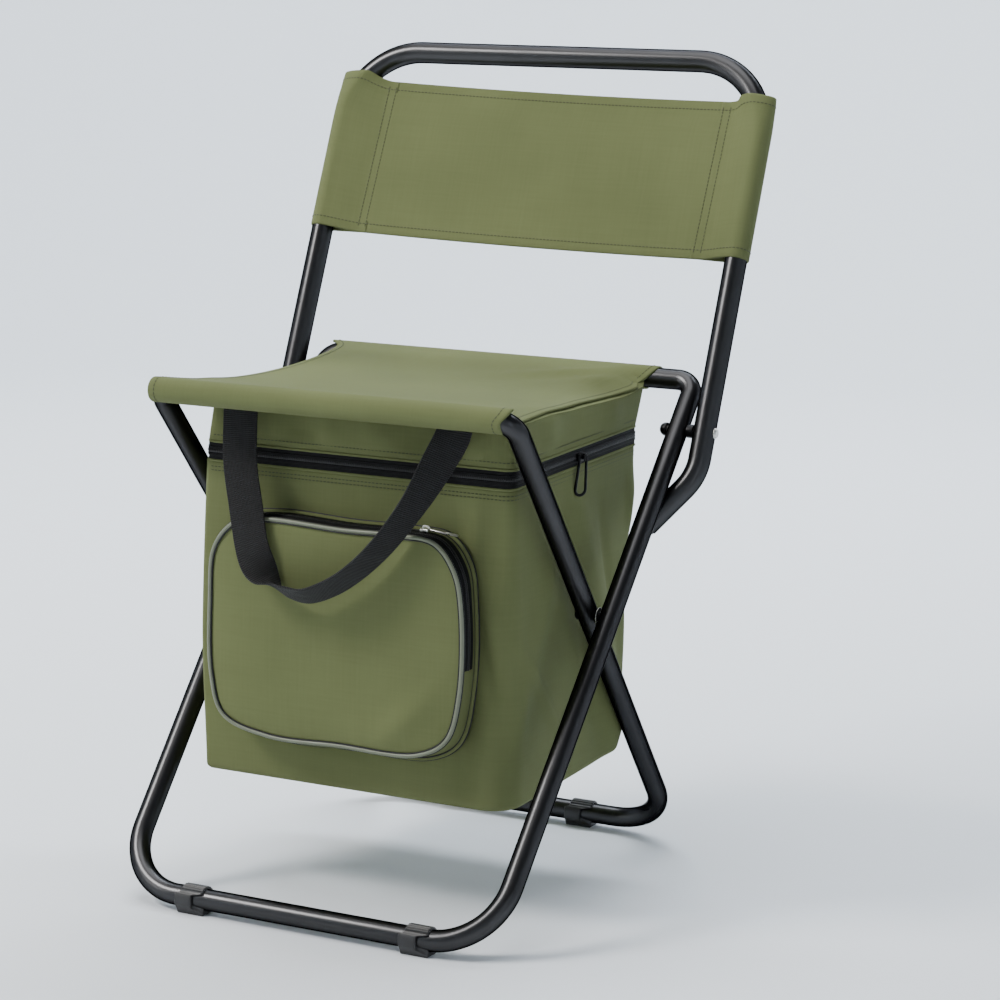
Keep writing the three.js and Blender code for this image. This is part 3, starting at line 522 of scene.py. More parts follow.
def stitch_row(line, normals):
    """Short round stitches laid end to end along a line, half sunk in the cloth under them.

    A stitch is six rings of five points; its ring radius follows sqrt(1 - (2t - 1)^4) from end to end.
    """
    count = max(2, int(run_of(line)[-1] / STITCH_PITCH))
    line, normals = spaced(line, 2 * count + 1, normals)
    middle, normals = line[1::2], unit(normals[1::2])
    way = unit(line[2::2] - line[:-1:2])
    side = unit(np.cross(way, normals))
    t = np.linspace(0, 1, 6)
    ring = circle(THREAD_RADIUS, 5)
    size = np.sqrt(np.clip(1 - (2 * t - 1) ** 4, 0, 1))
    along = (t - 0.5) * STITCH_LENGTH
    grid = np.empty((len(t), len(ring), 3))
    grid[..., 0] = along[:, None]
    grid[..., 1] = size[:, None] * ring[:, 0]
    grid[..., 2] = size[:, None] * ring[:, 1]
    axes = np.stack([way, side, np.cross(side, way)], 1)
    return moved_copies(patch(grid, None, (False, True)), middle, axes)


# Finishes


class Wire:
    """An output socket of a finish. Sums and products on it add Math nodes."""

    def __init__(self, finish, node, output=0):
        self.finish, self.node, self.output = finish, node, output

    def take(self, output):
        """Another output of the same node."""
        return Wire(self.finish, self.node, output)

    def calculate(self, operation, *values):
        """A Math node on values or wires."""
        return self.finish.add("ShaderNodeMath", {"operation": operation}, dict(enumerate(values)))

    def __add__(self, other):
        return self.calculate("ADD", self, other)

    def __radd__(self, other):
        return self.calculate("ADD", other, self)

    def __sub__(self, other):
        return self.calculate("SUBTRACT", self, other)

    def __rsub__(self, other):
        return self.calculate("SUBTRACT", other, self)

    def __mul__(self, other):
        return self.calculate("MULTIPLY", self, other)

    def __rmul__(self, other):
        return self.calculate("MULTIPLY", other, self)

    def sine(self):
        """The sine of a value in radians."""
        return self.calculate("SINE", self)


class Finish:
    """A material under construction, with one Principled surface."""

    def __init__(self, title, **constants):
        self.material = bpy.data.materials.new(title)
        self.material.use_nodes = True
        self.tree = self.material.node_tree
        self.surface = self.tree.nodes["Principled BSDF"]
        sockets = {socket.name.lower().replace(" ", "_"): socket for socket in self.surface.inputs}
        for name, value in constants.items():
            self.join(sockets[name], value)

    def set(self, socket, value):
        """Gives a socket of the surface a constant or a wire."""
        self.join(self.surface.inputs[socket], value)

    def join(self, socket, value):
        """Links a wire to a socket, or sets its constant."""
        if isinstance(value, Wire):
            self.tree.links.new(value.node.outputs[value.output], socket)
        elif socket.type == "RGBA" and len(value) == 3:
            socket.default_value = (*value, 1.0)
        else:
            socket.default_value = value

    def add(self, kind, options=None, inputs=None, output=0):
        """Adds any node: options are set first, then inputs take values or wires."""
        node = self.tree.nodes.new(kind)
        for key, value in (options or {}).items():
            setattr(node, key, value)
        for key, value in (inputs or {}).items():
            self.join(node.inputs[key], value)
        return Wire(self, node, output)

    def place(self):
        """A place on the piece in metres, in the frame's axes."""
        return self.add("ShaderNodeTexCoord", output="Object")

    def weave(self):
        """The piece's own map in metres, as its across and its along."""
        uv = self.add("ShaderNodeUVMap", {"uv_map": "weave"})
        split = self.add("ShaderNodeSeparateXYZ", inputs={0: uv})
        return split, split.take(1)

    def stretched(self, across, along, scale_across, scale_along):
        """The map drawn out unevenly, for streaks."""
        inputs = {0: across * scale_across, 1: along * scale_along}
        return self.add("ShaderNodeCombineXYZ", inputs=inputs)

    def noise(self, scale, detail=2.0, vector=None):
        """Soft noise from 0 to 1, over the piece's places or over a vector."""
        inputs = {"Vector": vector or self.place(), "Scale": scale, "Detail": detail}
        return self.add("ShaderNodeTexNoise", inputs=inputs)

    def tint(self, factor, first, second):
        """Colours the surface between two colours."""
        options = {"data_type": "RGBA"}
        mix = self.add("ShaderNodeMix", options, {0: factor, 6: first, 7: second}, output=2)
        self.set("Base Color", mix)

    def raise_by(self, height, distance, strength=1.0):
        """Bumps the surface: height runs from 0 to 1 over the distance in metres."""
        inputs = {"Strength": strength, "Distance": distance, "Height": height}
        self.set("Normal", self.add("ShaderNodeBump", inputs=inputs))


def finish_once(make):
    """Keeps one material for each finish."""

    def get():
        """The finish's material, made on its first use."""
        found = bpy.data.materials.get(make.__name__)
        return found or make(make.__name__, settings("stool_colours")).material

    return get


THREAD_PITCH = 0.00095


@finish_once
def olive_cloth(name, tones):
    """Coated polyester: a fine plain weave, faint slubs both ways and slow changes of tone."""
    made = Finish(name, sheen_weight=0.008, sheen_roughness=0.45, specular_ior_level=0.04)
    across, along = made.weave()
    turn = 2 * math.pi / THREAD_PITCH
    threads = (across * turn).sine() * (along * turn).sine()
    slub_across = made.noise(1.0, vector=made.stretched(across, along, 18.0, 520.0))
    slub_along = made.noise(1.0, vector=made.stretched(across, along, 520.0, 18.0))
    slow = made.noise(11.0)
    tone = slub_across * 0.18 + slub_along * 0.18 + slow * 0.64
    factor = (tone - 0.28) * 1.9
    made.tint(factor, tones.cloth_dark, tones.cloth)
    made.set("Roughness", 0.62 + slow * 0.16)
    made.raise_by(threads * 0.6 + slub_across * 0.5 + slub_along * 0.5, 0.00014, 0.5)
    return made


@finish_once
def sewing_thread(name, tones):
    """Twisted thread, coloured darker than the cloth to paint the shade of the groove that each stitch row
    sinks into: fine slanting plies.
    """
    made = Finish(name, base_color=tones.thread, roughness=0.7)
    grain = made.noise(1400.0)
    made.tint(grain * 0.35, tones.thread, tones.cloth_dark)
    made.raise_by(grain, 0.0001)
    return made


@finish_once
def black_enamel(name, tones):
    """Black enamel with a slight orange peel, kept dark at glancing angles by its edge tint."""
    made = Finish(name, metallic=1.0, specular_tint=[0.12, 0.12, 0.13, 1.0])
    slow = made.noise(26.0)
    peel = made.noise(620.0)
    made.tint(slow, tones.enamel, [0.8 * c for c in tones.enamel])
    made.set("Roughness", 0.25 + slow * 0.1)
    made.raise_by(peel, 0.00005, 0.25)
    return made


@finish_once
def clip_plastic(name, tones):
    """Moulded plastic with a fine satin grain."""
    made = Finish(name, specular_ior_level=0.5)
    grain = made.noise(1500.0)
    slow = made.noise(60.0)
    made.tint(slow * 0.5, tones.plastic, tones.dark_steel)
    made.set("Roughness", 0.36 + slow * 0.18)
    made.raise_by(grain, 0.00006, 0.4)
    return made


def plated(name, tint, deep, roughness):
    """Plated metal with faint brushing and duller patches."""
    made = Finish(name, metallic=1.0)
    slow = made.noise(240.0)
    made.tint(slow, deep, tint)
    made.set("Roughness", roughness + slow * 0.2)
    made.raise_by(made.noise(1800.0), 0.00003, 0.3)
    return made


@finish_once
def bright_steel(name, tones):
    """Bright plating of washers, rivets and small pulls."""
    return plated(name, tones.steel, [0.7 * c for c in tones.steel], 0.2)


@finish_once
def dark_steel(name, tones):
    """Black plating of pins, nuts and the main slider."""
    return plated(name, tones.dark_steel, [0.6 * c for c in tones.dark_steel], 0.28)


RIB_PITCH = 0.0015


@finish_once
def black_webbing(name, tones):
    """Polyester webbing: slanting ribs in two columns of yarn, with a dull sheen."""
    made = Finish(name, sheen_weight=0.08, sheen_roughness=0.4, specular_ior_level=0.3)
    across, along = made.weave()
    ribs = ((along + across * 0.1) * (2 * math.pi / RIB_PITCH)).sine() * 0.5 + 0.5
    yarn = (across * (2 * math.pi / (RIB_PITCH * 0.7))).sine() * 0.5 + 0.5
    made.tint(ribs * 0.5, tones.webbing, tones.dark_steel)
    made.set("Roughness", 0.7 + yarn * 0.15)
    made.raise_by(ribs + yarn * 0.35, 0.00045, 0.8)
    return made


@finish_once
def zip_weave(name, tones):
    """Zip tape: a close herringbone that runs along it."""
    made = Finish(name, specular_ior_level=0.12)
    across, along = made.weave()
    lines = (across * (2 * math.pi / 0.0011)).sine() * 0.5 + 0.5
    cross = ((along + across * 0.6) * (2 * math.pi / 0.0014)).sine() * 0.5 + 0.5
    made.tint(lines * 0.25, tones.zip_black, tones.dark_steel)
    made.set("Roughness", 0.62 + cross * 0.14)
    made.raise_by(lines + cross * 0.5, 0.00022, 0.7)
    return made


@finish_once
def zip_coil(name, tones):
    """The nylon coil: smoother and glossier than its tape."""
    made = Finish(name, specular_ior_level=0.3)
    slow = made.noise(300.0)
    made.tint(slow * 0.4, tones.zip_black, tones.dark_steel)
    made.set("Roughness", 0.36 + slow * 0.15)
    made.raise_by(slow, 0.00005, 0.3)
    return made


@finish_once
def vinyl_piping(name, tones):
    """Smooth grey green vinyl with a soft gloss and slight scuffs."""
    made = Finish(name, specular_ior_level=0.5, coat_weight=0.15, coat_roughness=0.3)
    slow = made.noise(90.0)
    made.tint(slow * 0.7, tones.piping, [0.82 * c for c in tones.piping])
    made.set("Roughness", 0.4 + slow * 0.15)
    made.raise_by(made.noise(900.0), 0.00005, 0.3)
    return made


@finish_once
def cooler_foil(name, tones):
    """Crinkled foil on foam."""
    made = Finish(name, metallic=0.85)
    crinkle = made.noise(130.0, 5.0)
    made.tint(crinkle, tones.foil, tones.foam)
    made.set("Roughness", 0.25 + crinkle * 0.25)
    made.raise_by(crinkle, 0.0012, 0.6)
    return made


@finish_once
def insulating_foam(name, tones):
    """Closed cell foam under a thin film."""
    made = Finish(name, specular_ior_level=0.3)
    cells = made.noise(480.0, 4.0)
    made.tint(cells, tones.foam, tones.foil)
    made.set("Roughness", 0.6 + cells * 0.2)
    made.raise_by(cells, 0.0004, 0.6)
    return made


@finish_once
def floor_board(name, tones):
    """Pressed fibre board."""
    made = Finish(name, specular_ior_level=0.3)
    fibres = made.noise(350.0, 5.0)
    made.tint(fibres, tones.board, tones.cloth_dark)
    made.set("Roughness", 0.7 + fibres * 0.2)
    made.raise_by(fibres, 0.0003, 0.6)
    return made


@finish_once
def studio_floor(name, tones):
    """Matt paper."""
    made = Finish(name, specular_ior_level=0.2)
    grain = made.noise(40.0)
    made.tint(grain * 0.1, tones.floor, tones.sky)
    made.set("Roughness", 0.8 + grain * 0.1)
    return made


# Frame tubes


class LegLoop:
    """The centre line of one crossed loop: its half widths and the places of its two bars."""

    def __init__(self, sizes, outer):
        step_in = 0 if outer else sizes.tube_diameter + sizes.crossing_gap
        self.top_half = sizes.outer_top_half - step_in
        self.floor_half = self.top_half - sizes.leg_taper
        self.floor_y = sizes.front_floor_bar if outer else sizes.rear_floor_bar
        self.seat_y = seat_bars(sizes)[outer]

    def at(self, sizes, height):
        """Half width and Y of the leg at a height: a straight line from floor bar to seat bar."""
        t = (height - sizes.floor_bar_height) / (sizes.seat_bar_height - sizes.floor_bar_height)
        return lerp(self.floor_half, self.top_half, t), lerp(self.floor_y, self.seat_y, t)


def seat_bars(sizes):
    """Y of both seat bars: the cloth's sleeve round each reaches one sleeve radius further out."""
    radius = sizes.sleeve_radius
    return low_of("seat_sling")[1] + radius, high_of("seat_sling")[1] - radius


def seat_share(y, sizes):
    """Where a place lies between the seat bars: -1 at the front one and 1 at the rear one."""
    front, rear = seat_bars(sizes)
    return np.clip((y - (front + rear) / 2) / ((rear - front) / 2), -1, 1)


def leg_tube(sizes, outer):
    """A closed loop of round tube: four straight runs and four bends in one sloping plane."""
    loop = LegLoop(sizes, outer)
    corners = [
        (-loop.floor_half, loop.floor_y, sizes.floor_bar_height),
        (loop.floor_half, loop.floor_y, sizes.floor_bar_height),
        (loop.top_half, loop.seat_y, sizes.seat_bar_height),
        (-loop.top_half, loop.seat_y, sizes.seat_bar_height),
    ]
    floor_bend, seat_bend = sizes.floor_bend_radius, sizes.seat_bend_radius
    line, ways = bent_line(corners, [floor_bend, floor_bend, seat_bend, seat_bend], True, 20)
    plane = np.cross(np.subtract(corners[1], corners[0]), np.subtract(corners[2], corners[1]))
    return swept(line, ways, circle(sizes.tube_diameter / 2, 48), unit(plane), closed=True)


def back_axes(sizes):
    """The backrest's own up and front directions."""
    tilt = sizes.back_tilt
    up = np.array([0, math.sin(tilt), math.cos(tilt)])
    return up, np.array([0, -math.cos(tilt), math.sin(tilt)])


def back_line(sizes):
    """The backrest tube from its tip behind the left leg, over the top, to the right tip."""
    pin = middle_of("back_pin_right")
    legs = LegLoop(sizes, outer=True)
    leg_x, leg_y = legs.at(sizes, pin[2])
    rise = sizes.seat_bar_height - sizes.floor_bar_height
    leg_way = unit([legs.top_half - legs.floor_half, legs.seat_y - legs.floor_y, rise])
    behind = -unit(np.cross((1, 0, 0), leg_way))
    up, _ = back_axes(sizes)
    tip = np.array([leg_x, leg_y, pin[2]]) - leg_way * sizes.back_tip_drop
    tip = tip + behind * (sizes.tube_diameter + sizes.back_rest_gap)
    pin = np.array([sizes.back_half, pin[1], pin[2]])
    tip = tip + unit(tip - pin + up * sizes.back_heel_drop) * sizes.back_tip_reach
    slope = (sizes.back_top_height - pin[2]) / up[2]
    right = [tip, pin - up * sizes.back_heel_drop, pin + up * slope]
    left = [corner * (-1, 1, 1) for corner in right[::-1]]
    bends = [sizes.back_heel_radius, sizes.back_bend_radius]
    return bent_line([*right, *left], [0, *bends, *bends[::-1], 0], False, 24)


END_PLUG = 0.0035


class STOOL_OT_tubes(bpy.types.Operator):
    """Build both leg loops and the backrest tube, smooth and enamelled"""

    bl_idname = "stool.tubes"
    bl_label = "Frame Tubes"

    def execute(self, context):
        sizes = settings("stool_frame")
        for name, node, outer in (
            ("outer_leg_tube", "outer_leg_frame", True),
            ("inner_leg_tube", "inner_leg_frame", False),
        ):
            seat_on(make_piece(name, [leg_tube(sizes, outer)], black_enamel()), "frame_paint", node)
        line, ways = back_line(sizes)
        section = circle(sizes.back_diameter / 2, 48)
        tube = make_piece("back_tube", [swept(line, ways, section, (0.0, -0.93, 0.37))], black_enamel())
        seat_on(tube, "frame_paint", "back_frame")
        radius = sizes.back_diameter / 2
        profile = [(-END_PLUG, 0), (-END_PLUG, radius * 0.8), (END_PLUG / 2, radius), (END_PLUG / 2, 0)]
        plugs = [
            turned(profile, line[0], ways[0], [0, 0.0015, 0.0008, 0]),
            turned(profile, line[-1], -ways[-1], [0, 0.0015, 0.0008, 0]),
        ]
        piece = make_piece("back_tube_plugs", plugs, clip_plastic())
        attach(piece, "back_rest")
        return {"FINISHED"}


# Pins, washers, spacers and nuts

EDGE = 0.0004


class STOOL_OT_fasteners(bpy.types.Operator):
    """Build the crossing pins, washers, back pins, spacers and domed nuts"""

    bl_idname = "stool.fasteners"
    bl_label = "Pins and Washers"

    def execute(self, context):
        for side, sign in (("left", -1), ("right", 1)):
            for kind, slot, finish, shape in (
                ("leg_pivot_pin", "black_fastener", dark_steel, low_head),
                ("leg_pivot_washer", "washer_steel", bright_steel, flat_ring),
                ("back_pin", "rivet_steel", bright_steel, rivet),
                ("back_spacer", "black_fastener", dark_steel, flat_ring),
                ("back_cap_nut", "black_fastener", dark_steel, domed_nut),
            ):
                node = f"{kind}_{side}"
                low, high, middle = box_of(node)
                inner = low[0] if sign > 0 else high[0]
                reach, radius = high[0] - low[0], (high[2] - low[2]) / 2
                profile, bends = shape(reach, radius)
                place = (inner, *middle[1:])
                name = node.replace("_pin", "_stud") if "pin" in kind else f"{node}_turned"
                solid = turned(profile, place, (sign, 0, 0), bends)
                seat_on(make_piece(name, [solid], finish()), slot, node)
        return {"FINISHED"}


PIN_RADIUS = 0.003
LOW_HEAD = 0.0018
RIVET_HEAD = 0.0022


def low_head(reach, radius):
    """A low pan head at the start of a shaft."""
    head = [(0, 0), (0, radius * 0.7), (LOW_HEAD, radius), (LOW_HEAD, PIN_RADIUS)]
    return [*head, (reach, PIN_RADIUS), (reach, 0)], [0, LOW_HEAD / 2, EDGE / 2, EDGE / 2, EDGE, 0]


def rivet(reach, radius):
    """A shaft that ends in a rounded rivet head."""
    start = reach - RIVET_HEAD
    head = [(start, radius), (reach, radius * 0.72), (reach, 0)]
    profile = [(0, 0), (0, PIN_RADIUS), (start, PIN_RADIUS), *head]
    return profile, [0, EDGE, EDGE / 2, EDGE, RIVET_HEAD * 0.6, 0]


def flat_ring(reach, radius):
    """A washer or spacer with eased edges, bored to run on a pin."""
    bore = PIN_RADIUS + EDGE / 2
    profile = [(0, bore), (0, radius), (reach, radius), (reach, bore), (0, bore)]
    return profile, [0, min(EDGE, reach / 3), min(EDGE, reach / 3), EDGE / 4, 0]


def domed_nut(reach, radius):
    """A domed nut: a skirt and a half round top."""
    profile = [(0, 0), (0, radius), (reach, radius), (reach, 0)]
    return profile, [0, radius * 0.92, EDGE, 0]


# Foot clips

CLIP_RIBS = 11
RIB_HEIGHT = 0.0010
CLIP_NOTCH = 0.0085
CLIP_STEP = 0.0035
CLIP_EASING = 0.0009
CLIP_CLEARANCE = 0.0002


def clip_section(sizes, around):
    """The clip seen from its end: a collar whose sides run down to a short flat base on the floor.

    The upper rear is ribbed as |sin|; below the shoulders the width eases from the collar to the base.
    """
    radius = sizes.tube_diameter / 2 + sizes.clip_wall
    x, y = np.cos(around), np.sin(around)
    crown = smooth(y + 0.25 * x, 0.25, 0.5)
    ribs = RIB_HEIGHT * (np.abs(np.sin(around * CLIP_RIBS)) - 1) * crown - 0.0004 * crown
    wide = (radius + ribs) * x
    foot = smooth(-y, 0.25, 0.95)
    wide = lerp(wide, sizes.clip_base * np.clip(x * 1.6, -0.5, 0.5), foot)
    tall = np.where(y > 0, (radius + ribs) * y, sizes.floor_bar_height * np.maximum(y * 1.25, -1))
    return np.stack([wide, tall], -1)


def foot_clip(sizes, place, long):
    """A collar round the floor bar, bored for it, whose front half is cut back behind a rounded notch.

    Its crown starts a step further right than its skirt, and both ends are eased over.
    """
    around = np.arange(144) * 2 * math.pi / 144 - math.pi / 2
    section = clip_section(sizes, around)
    tip = np.array([0.5, 0.5, 0.49, 0.46])
    along = np.concatenate([-tip, np.linspace(-0.4, 0.4, 13), tip[::-1]])
    ease = CLIP_EASING * np.clip((np.abs(along) - 0.46) / 0.04, 0, 1) ** 2
    bore = np.stack([np.cos(around), np.sin(around)], -1) * (sizes.tube_diameter / 2 + CLIP_CLEARANCE)
    shrink = 1 - ease[:, None, None] / (sizes.tube_diameter / 2)
    ends = np.isin(np.arange(len(along)), (0, len(along) - 1))
    rings = np.where(ends[:, None, None], bore, section * shrink)
    from_front = np.abs(around - math.pi)
    notch = CLIP_NOTCH * (1 - smooth(from_front, 0.42, 0.72))
    step = CLIP_STEP * smooth(np.sin(around), 0.45, 0.6)
    x = along[:, None] * long - notch * smooth(along, 0.0, 0.5)[:, None]
    x = x + step * smooth(-along, 0.2, 0.5)[:, None]
    grid = np.stack([x + place[0], rings[..., 0] + place[1], rings[..., 1] + sizes.floor_bar_height], -1)
    return patch(grid[:, ::-1], None, (True, True))


# How far each clip has slid along its bar to the right
CLIP_SLIDE = {"front_left": 0.003, "front_right": 0.0045, "rear_left": 0.0, "rear_right": 0.0}


class STOOL_OT_foot_clips(bpy.types.Operator):
    """Build the four ribbed plastic clips that the floor bars stand on"""

    bl_idname = "stool.foot_clips"
    bl_label = "Foot Clips"

    def execute(self, context):
        sizes = settings("stool_frame")
        for row in ("front", "rear"):
            for side in ("left", "right"):
                node = f"foot_clip_{row}_{side}"
                long = high_of(node)[0] - low_of(node)[0]
                shape = foot_clip(sizes, middle_of(node) + (CLIP_SLIDE[f"{row}_{side}"], 0, 0), long)
                piece = make_piece(f"ribbed_clip_{row}_{side}", [shape], clip_plastic(), 35.0)
                seat_on(piece, "foot_plastic", node)
        return {"FINISHED"}


# Cloth with turned hems


def hem_columns(count, hem, stitch, fold):
    """Columns across a sheet whose side edges are turned under.

    For each column: its share from the left edge to the right, its step in from the nearer edge, its
    depth below the sheet and the cloth's own run. The turn is a half circle of radius fold.
    """
    turn = np.linspace(0, math.pi, 6)
    under = np.array([hem, (hem + stitch) / 2, fold])
    step = np.concatenate([under[:-1], fold - fold * np.sin(turn), [stitch * 0.6, stitch]])
    deep = np.concatenate([under[:-1] * 0 + 2 * fold, fold + fold * np.cos(turn), [0, 0]])
    run = np.concatenate([[0], np.cumsum(np.hypot(np.diff(step), np.diff(deep)))])
    shares = np.linspace(0, 1, count)[1:-1]
    inner = 0 * shares
    at = np.concatenate([0 * step, shares, 0 * step + 1])
    steps = np.concatenate([step, inner, -step[::-1]])
    deeps = np.concatenate([deep, inner, deep[::-1]])
    return at, steps, deeps, run


def hemmed_sheet(place, normal, width, count, hem, stitch, fold):
    """A sheet given by place(row, x, t) between edges width(row) with both side edges turned under.

    Returns the grid, its normals, its map and the two columns where the hem stitches run.
    """
    at, steps, deeps, run = hem_columns(count, hem, stitch, fold)
    left, right = width
    inner_left, inner_right = left + stitch, right - stitch
    inside = (steps == 0) & (at > 0) & (at < 1)
    x = np.where(inside[None], lerp(inner_left[:, None], inner_right[:, None], at[None]), 0)
    edge = np.where(at[None] == 0, left[:, None], right[:, None]) + steps[None]
    x = np.where(inside[None], x, edge)
    grid = place(x)
    facing = normal(x)
    grid = grid - facing * deeps[None, :, None]
    stitch_columns = (len(run) - 1, len(at) - len(run))
    across = np.concatenate([run, run[-1] + (x.mean(0)[inside] - inner_left.mean()), np.zeros(len(run))])
    total = across[len(run) + inside.sum() - 1]
    across[-len(run):] = total + inner_right.mean() - x.mean(0)[inside][-1] + (run[-1] - run[::-1])
    along = np.stack([run_of(grid[:, c]) for c in range(grid.shape[1])], 1)
    uv = np.stack([np.broadcast_to(across[None], along.shape), along], -1)
    return grid, facing, uv, stitch_columns


def seat_profile(x, sizes, cloth):
    """The seat cloth's line from its front flap over both bars to its rear flap, for each column's X.

    Round each bar it is an arc of the sleeve's middle radius, and between them a parabola that leaves
    the arcs on their tangents; each flap runs up from the arc to lie under the panel. Rows are places
    along that line. Returns Y, Z and the normal's Y and Z.
    """
    radius = sizes.sleeve_radius - cloth.thickness / 2
    front, rear = seat_bars(sizes)
    half, middle = (rear - front) / 2, (rear + front) / 2
    sag = cloth.seat_sag * (1 + SEAT_LOPSIDE * x / sizes.outer_top_half)
    slope = np.arctan(2 * sag / half)
    reach = half - radius * np.sin(slope)
    dip = reach * np.tan(slope) / 2
    begin = math.radians(SLEEVE_CLOSE)
    arc = begin + (math.pi / 2 - slope - begin) * np.linspace(0, 1, ARC_ROWS)[:, None]
    arc_y, arc_z = radius * np.cos(arc), radius * np.sin(arc)
    t = np.linspace(-1, 1, PANEL_ROWS)[1:-1, None]
    panel_y, panel_z = reach * t, radius * np.cos(slope) - dip * (1 - t * t)
    panel_lean = np.arctan(2 * dip * t / reach)
    lap = np.linspace(1, 0, FLAP_ROWS)[:-1, None]
    flap_y = lerp(arc_y[:1], cloth.seat_flap, lap)
    under = radius - dip * (1 - ((flap_y - half) / half) ** 2) - 2.2 * cloth.thickness
    flap_z = lerp(arc_z[:1], under, smooth(lap, 0, 0.75))
    flap_ny, flap_nz = 0.5 * (1 - lap) + 0 * flap_y, -1 + 0 * flap_y
    y = np.concatenate([flap_y - half, arc_y - half, panel_y, half - arc_y[::-1], half - flap_y[::-1]])
    z = np.concatenate([flap_z, arc_z, panel_z, arc_z[::-1], flap_z[::-1]])
    ny = np.concatenate([flap_ny, np.cos(arc), -np.sin(panel_lean), -np.cos(arc)[::-1], -flap_ny[::-1]])
    nz = np.concatenate([flap_nz, np.sin(arc), np.cos(panel_lean), np.sin(arc)[::-1], flap_nz[::-1]])
    return y + middle, z + sizes.seat_bar_height, ny, nz


SEAT_LOPSIDE = 0.25
SLEEVE_TONGUE = 0.006
SLEEVE_SLANT = 0.010
SLEEVE_CLOSE = 305.0
ARC_ROWS = 22
PANEL_ROWS = 64
FLAP_ROWS = 8


def seat_creases(x, y, sizes):
    """Soft creases of the seat: long low ridges that fan out from its rear right corner."""
    front, rear = seat_bars(sizes)
    corner_x, corner_y = 0.15, rear + 0.02
    angle_of = np.arctan2(corner_y - y, corner_x - x)
    far = np.hypot(corner_x - x, corner_y - y)
    fade = smooth(far, 0.03, 0.09) * (1 - smooth(far, 0.16, 0.3))
    inside = smooth(y, front + 0.012, front + 0.05) * (1 - smooth(y, rear - 0.03, rear - 0.004))
    fan = bump(angle_of, 0.55, 0.07) * 0.0013 + bump(angle_of, 0.86, 0.08) * 0.0011
    fan = fan - bump(angle_of, 0.70, 0.06) * 0.0009
    left = bump(x + 0.6 * (y - front), -0.1, 0.012) * 0.0007
    return (fan * fade + left) * inside


def seat_edges(y, sizes, cloth):
    """X of the seat's left and right edges: straight at the sleeves, drawn in between by 1 - s^4."""
    s = seat_share(y, sizes)
    t = (s + 1) / 2
    left_waist = cloth.seat_waist * (1 - np.abs(s) ** lerp(3, 14, t))
    right_waist = cloth.seat_waist * (1 - np.abs(s) ** 4)
    left = lerp(cloth.seat_front_left, cloth.seat_rear_left, t) + left_waist
    return left, lerp(cloth.seat_front_right, cloth.seat_rear_right, t) - right_waist


def seat_edge_drop(x, y, sizes, cloth):
    """How much lower the seat's right edge hangs behind its front bar and ahead of its rear bar."""
    front, rear = seat_bars(sizes)
    behind, ahead = y - front, rear - y
    at_front = smooth(behind, 0.003, 0.014) * (1 - smooth(behind, 0.02, 0.12))
    at_rear = smooth(ahead, 0.004, 0.014) * (1 - smooth(ahead, 0.012, 0.13))
    edge = seat_edges(y, sizes, cloth)[1]
    drop = cloth.seat_droop * at_front + cloth.seat_corner_drop * at_rear
    return drop * smooth(x, edge - 0.03, edge)


def build_seat_cloth(sizes, cloth):
    """The seat cloth on its grid: the profile at each column, creased, drooped and trimmed."""
    centre_y, _, _, _ = seat_profile(np.zeros(1), sizes, cloth)
    edges = seat_edges(centre_y[:, 0], sizes, cloth)
    front, rear = seat_bars(sizes)

    def place(x):
        """The profile at each column, dropped at the right edge and creased."""
        y, z, _, _ = seat_profile(x.mean(0), sizes, cloth)
        row = np.arange(len(y))[:, None]
        flap = (row < FLAP_ROWS - 1) | (row > len(y) - FLAP_ROWS)
        near_bar = np.minimum(np.abs(y - front), np.abs(y - rear))
        share = np.where(flap, smooth(near_bar, 0.008, 0.02), 1.0)
        on_panel = smooth(z, sizes.seat_bar_height - 0.004, sizes.seat_bar_height + 0.004)
        z = z - seat_edge_drop(x, y, sizes, cloth) * share
        z = z + seat_creases(x, y, sizes) * on_panel
        ahead = smooth(z - sizes.seat_bar_height, -0.002, 0.008) * smooth(front + 0.006 - y, 0, 0.004)
        low = smooth(sizes.seat_bar_height + 0.007 - z, 0, 0.014) * smooth(y, rear - 0.026, rear - 0.012)
        at_edge = smooth(x, edges[1][:, None] - 0.02, edges[1][:, None])
        x = x + (SLEEVE_TONGUE * ahead - SLEEVE_SLANT * low) * at_edge
        return np.stack([x, y, z], -1)

    def normal(x):
        """The profile's own normals."""
        _, _, ny, nz = seat_profile(x.mean(0), sizes, cloth)
        return unit(np.stack([0 * ny, ny, nz], -1))

    fold = cloth.thickness * 0.6
    return hemmed_sheet(place, normal, edges, 44, cloth.hem, cloth.hem_stitch, fold)


class STOOL_OT_seat_cloth(bpy.types.Operator):
    """Build the seat cloth, stretched between its two bars, with turned and stitched side hems"""

    bl_idname = "stool.seat_cloth"
    bl_label = "Seat Cloth"

    def execute(self, context):
        sizes, cloth = settings("stool_frame"), settings("stool_cloth")
        grid, facing, uv, hems = build_seat_cloth(sizes, cloth)
        shape = patch(grid[:, ::-1], uv[:, ::-1])
        seat = make_piece("seat_cloth", [shape], olive_cloth(), CLOTH_ANGLE, cloth.thickness)
        lift = cloth.thickness / 2
        upper = slice(FLAP_ROWS, -FLAP_ROWS)
        rows = [stitch_row((grid + facing * lift)[upper, c], facing[upper, c]) for c in hems]
        stitching = make_piece("seat_stitching", rows, sewing_thread())
        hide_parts("seat_sling")
        ends = [(0, y, sizes.seat_bar_height) for y in reversed(seat_bars(sizes))]
        for piece in (seat, stitching):
            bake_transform(piece)
        return {"FINISHED"}


BACK_PANEL_COLUMNS = 40


